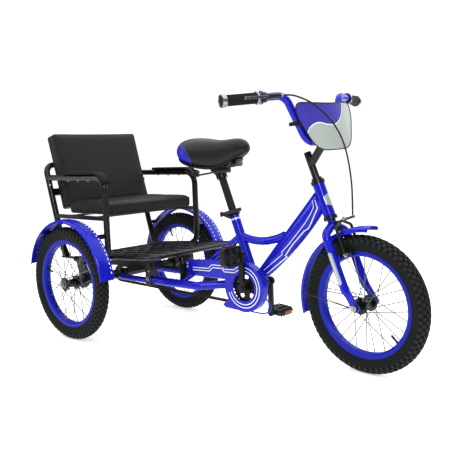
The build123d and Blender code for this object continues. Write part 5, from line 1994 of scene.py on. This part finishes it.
    def fork_dress(self, shop: Shop, fastener: Fastener, nodes: dict[str, bpy.types.Object]) -> None:
        """Blank strips on the fork legs, the caliper's bolt and pinch, and plate screws."""
        turned = STEERING.turned()
        fork = Bench.copy(nodes["fork"], turned.inverted(), "straight_fork")
        fork.parent = None
        fork["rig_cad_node"] = ""
        strips, tips = [], []
        for side, _ in SIDES:
            strips.append(Bench.press(self.fork_strip(side), fork, side, 0.35))
        shop.deliver_set(
            "fork_strips", strips, Body.STEERING, "strip_transfer", "blue_paint", move=turned
        )
        bpy.data.objects.remove(fork)
        for side, _ in SIDES:
            top = STEERING.point(-219, side=side * 50)
            end = STEERING.point(-241, forward=1.5, side=side * 50)
            tips.append(Bench.soften(Bench.rod("tip", top, end, 12.7, 28, 6.5), 1.2))
        shop.deliver_set("fork_tips", tips, Body.STEERING, "blue_paint", move=turned)
        ahead = STEERING.forward
        spots = (
            # up the axis, ahead of it, to the left, facing and size
            (-125, 32, -36, -ACROSS, 0.9),
            (-125, 32, 36, ACROSS, 0.9),
            (-25, 43, 0, ahead, 1.2),
            (-22, 42, 50, ahead, 0.8),
        )
        bolts = [
            fastener.put(fastener.hexagon, STEERING.point(up, forward, side), facing, size)
            for up, forward, side, facing, size in spots
        ]
        shop.deliver_set("steering_bolts", bolts, Body.STEERING, "bright_steel", move=turned)

    @staticmethod
    def fork_strip(side: int) -> bpy.types.Object:
        """A flat strip with rounded ends, beside one fork leg."""
        half_width, half_length, rounding = 6.75 * MM, 42.3 * MM, 6.7 * MM
        bpy.ops.mesh.primitive_grid_add(x_subdivisions=10, y_subdivisions=24, size=1)
        strip = Bench.named("strip", (2 * half_width, 98 * MM, 1))
        for vertex in strip.data.vertices:
            over = max(0.0, abs(vertex.co.y) - half_length)
            vertex.co.x *= math.sqrt(max(0.02, 1 - (over / rounding) ** 2))
        turn = Matrix((STEERING.forward, -STEERING.upward, -ACROSS)).transposed().to_4x4()
        return Bench.move(strip, Matrix.Translation(STEERING.point(-152, side=side * 80)) @ turn)

    @staticmethod
    def badge(shop: Shop) -> None:
        """A blank shield wrapped round the front of the head tube."""
        up, ahead = STEERING.upward, STEERING.forward
        corners = ((0, 21), (-15, 12), (-15, -12), (0, -20), (15, -12), (15, 12), (0, 21))
        centre = STEERING.point(46, forward=40)
        points = [centre + (ACROSS * y + up * rise) * MM for y, rise in corners]
        shield = Bench.sheet("head_badge", points, ACROSS, range(-16, 17, 2))
        foot, radius, half = STEERING.point(0), 18.3 * MM, 17.5 * MM
        for vertex in shield.data.vertices:
            y = max(-half, min(half, vertex.co.y))
            ring = ACROSS * y + ahead * math.sqrt(radius**2 - y**2)
            vertex.co = foot + up * (vertex.co - foot).dot(up) + ring
        Bench.modify(shield, "SOLIDIFY", thickness=0.5 * MM, offset=0.0)
        shop.deliver(shield, Body.FRAME, "strip_transfer", "blue_paint")


# ---- studio ----------------------------------------------------------------------------
@dataclass
class Studio:
    """White floor, soft lights and the camera."""

    camera_place: Point = (1.44525, -1.628, 0.650)
    azimuth: float = 41.47
    elevation: float = 6.82
    roll: float = -1.96
    lens: float = 51.32

    def build(self) -> None:
        """Set up everything that isn't the tricycle."""
        bpy.context.scene.view_settings.view_transform = "Standard"
        self.camera()
        self.world()
        self.floor()
        self.light("ceiling", (0.2, 0.3, 3.4), (0.2, 0.3, 0), 8.0, 400)
        self.light("key", (2.4, -2.8, 2.2), (0.1, 0, 0.35), 0.8, 46)
        self.light("side", (-2.6, -2.2, 1.4), (-0.2, 0, 0.4), 1.2, 22)
        self.light("back", (0.6, 3.2, 1.8), (0, 0, 0.4), 2.0, 24)

    def camera(self) -> None:
        """The camera at its height, lens and slight roll."""
        azimuth, elevation, roll = map(math.radians, (self.azimuth, self.elevation, self.roll))
        level = Vector((math.sin(azimuth), -math.cos(azimuth), 0))
        back = level * math.cos(elevation) + UP * math.sin(elevation)
        right = (-back).cross(UP).normalized()
        up = right.cross(-back)
        aside = right * math.cos(roll) + up * math.sin(roll)
        upward = up * math.cos(roll) - right * math.sin(roll)
        data = bpy.data.cameras.new("camera")
        data.lens = self.lens
        data.sensor_width = 36.0
        camera = bpy.data.objects.new("camera", data)
        turn = Matrix((aside, upward, back)).transposed().to_4x4()
        camera.matrix_world = Matrix.Translation(self.camera_place) @ turn
        bpy.context.scene.collection.objects.link(camera)
        bpy.context.scene.camera = camera

    @staticmethod
    def world() -> None:
        """An even white surround."""
        world = bpy.data.worlds.new("surround")
        world.use_nodes = True
        nodes = Nodes(world.node_tree)
        background = world.node_tree.nodes["Background"]
        seen = nodes.add("LightPath").outputs["Is Camera Ray"]
        shade = nodes.maths("ADD", nodes.maths("MULTIPLY", seen, 0.9), 0.2)
        nodes.feed(background, {"Strength": shade, "Color": (1, 1, 1)})
        bpy.context.scene.world = world

    @staticmethod
    def floor() -> None:
        """A wide pale floor."""
        bpy.ops.mesh.primitive_plane_add(size=9, location=(0, 0, -0.0005))
        floor = Bench.named("floor")
        material = bpy.data.materials.new("floor")
        material.use_nodes = True
        surface = {
            "Base Color": (0.85, 0.85, 0.85),
            "Emission Color": (1, 1, 1),
            "Emission Strength": 0.52,
            "Roughness": 0.6,
        }
        Nodes(material.node_tree).feed(material.node_tree.nodes["Principled BSDF"], surface)
        floor.data.materials.append(material)

    @staticmethod
    def light(name: str, spot: Point, target: Point, size: float, watts: float) -> None:
        """A square soft light aimed at a point."""
        data = bpy.data.lights.new(name, "AREA")
        data.size = size
        data.energy = watts
        lamp = bpy.data.objects.new(name, data)
        lamp.matrix_world = aimed(Vector(spot), Vector(target) - Vector(spot), "-Z", "Y")
        bpy.context.scene.collection.objects.link(lamp)


def main() -> None:
    """Load the frame, dress it and build every piece round it."""
    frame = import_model()
    Studio().build()
    finishes = Finishes()
    finishes.dress(frame)
    shop = Shop(finishes)
    cockpit = Cockpit()
    cockpit.build_cable(shop)
    fastener = Fastener()
    WheelSet().build(shop)
    PassengerSeat().build(shop, fastener)
    Saddle().build(shop, fastener)
    Drive().build(shop, fastener)
    FrameTrim().build(shop, fastener, frame["nodes"])
    for mudguard in MUDGUARDS:
        mudguard.build(shop)
    cockpit.build(shop, fastener, frame["nodes"])
    fastener.clear()


if __name__ == "__main__":
    main()
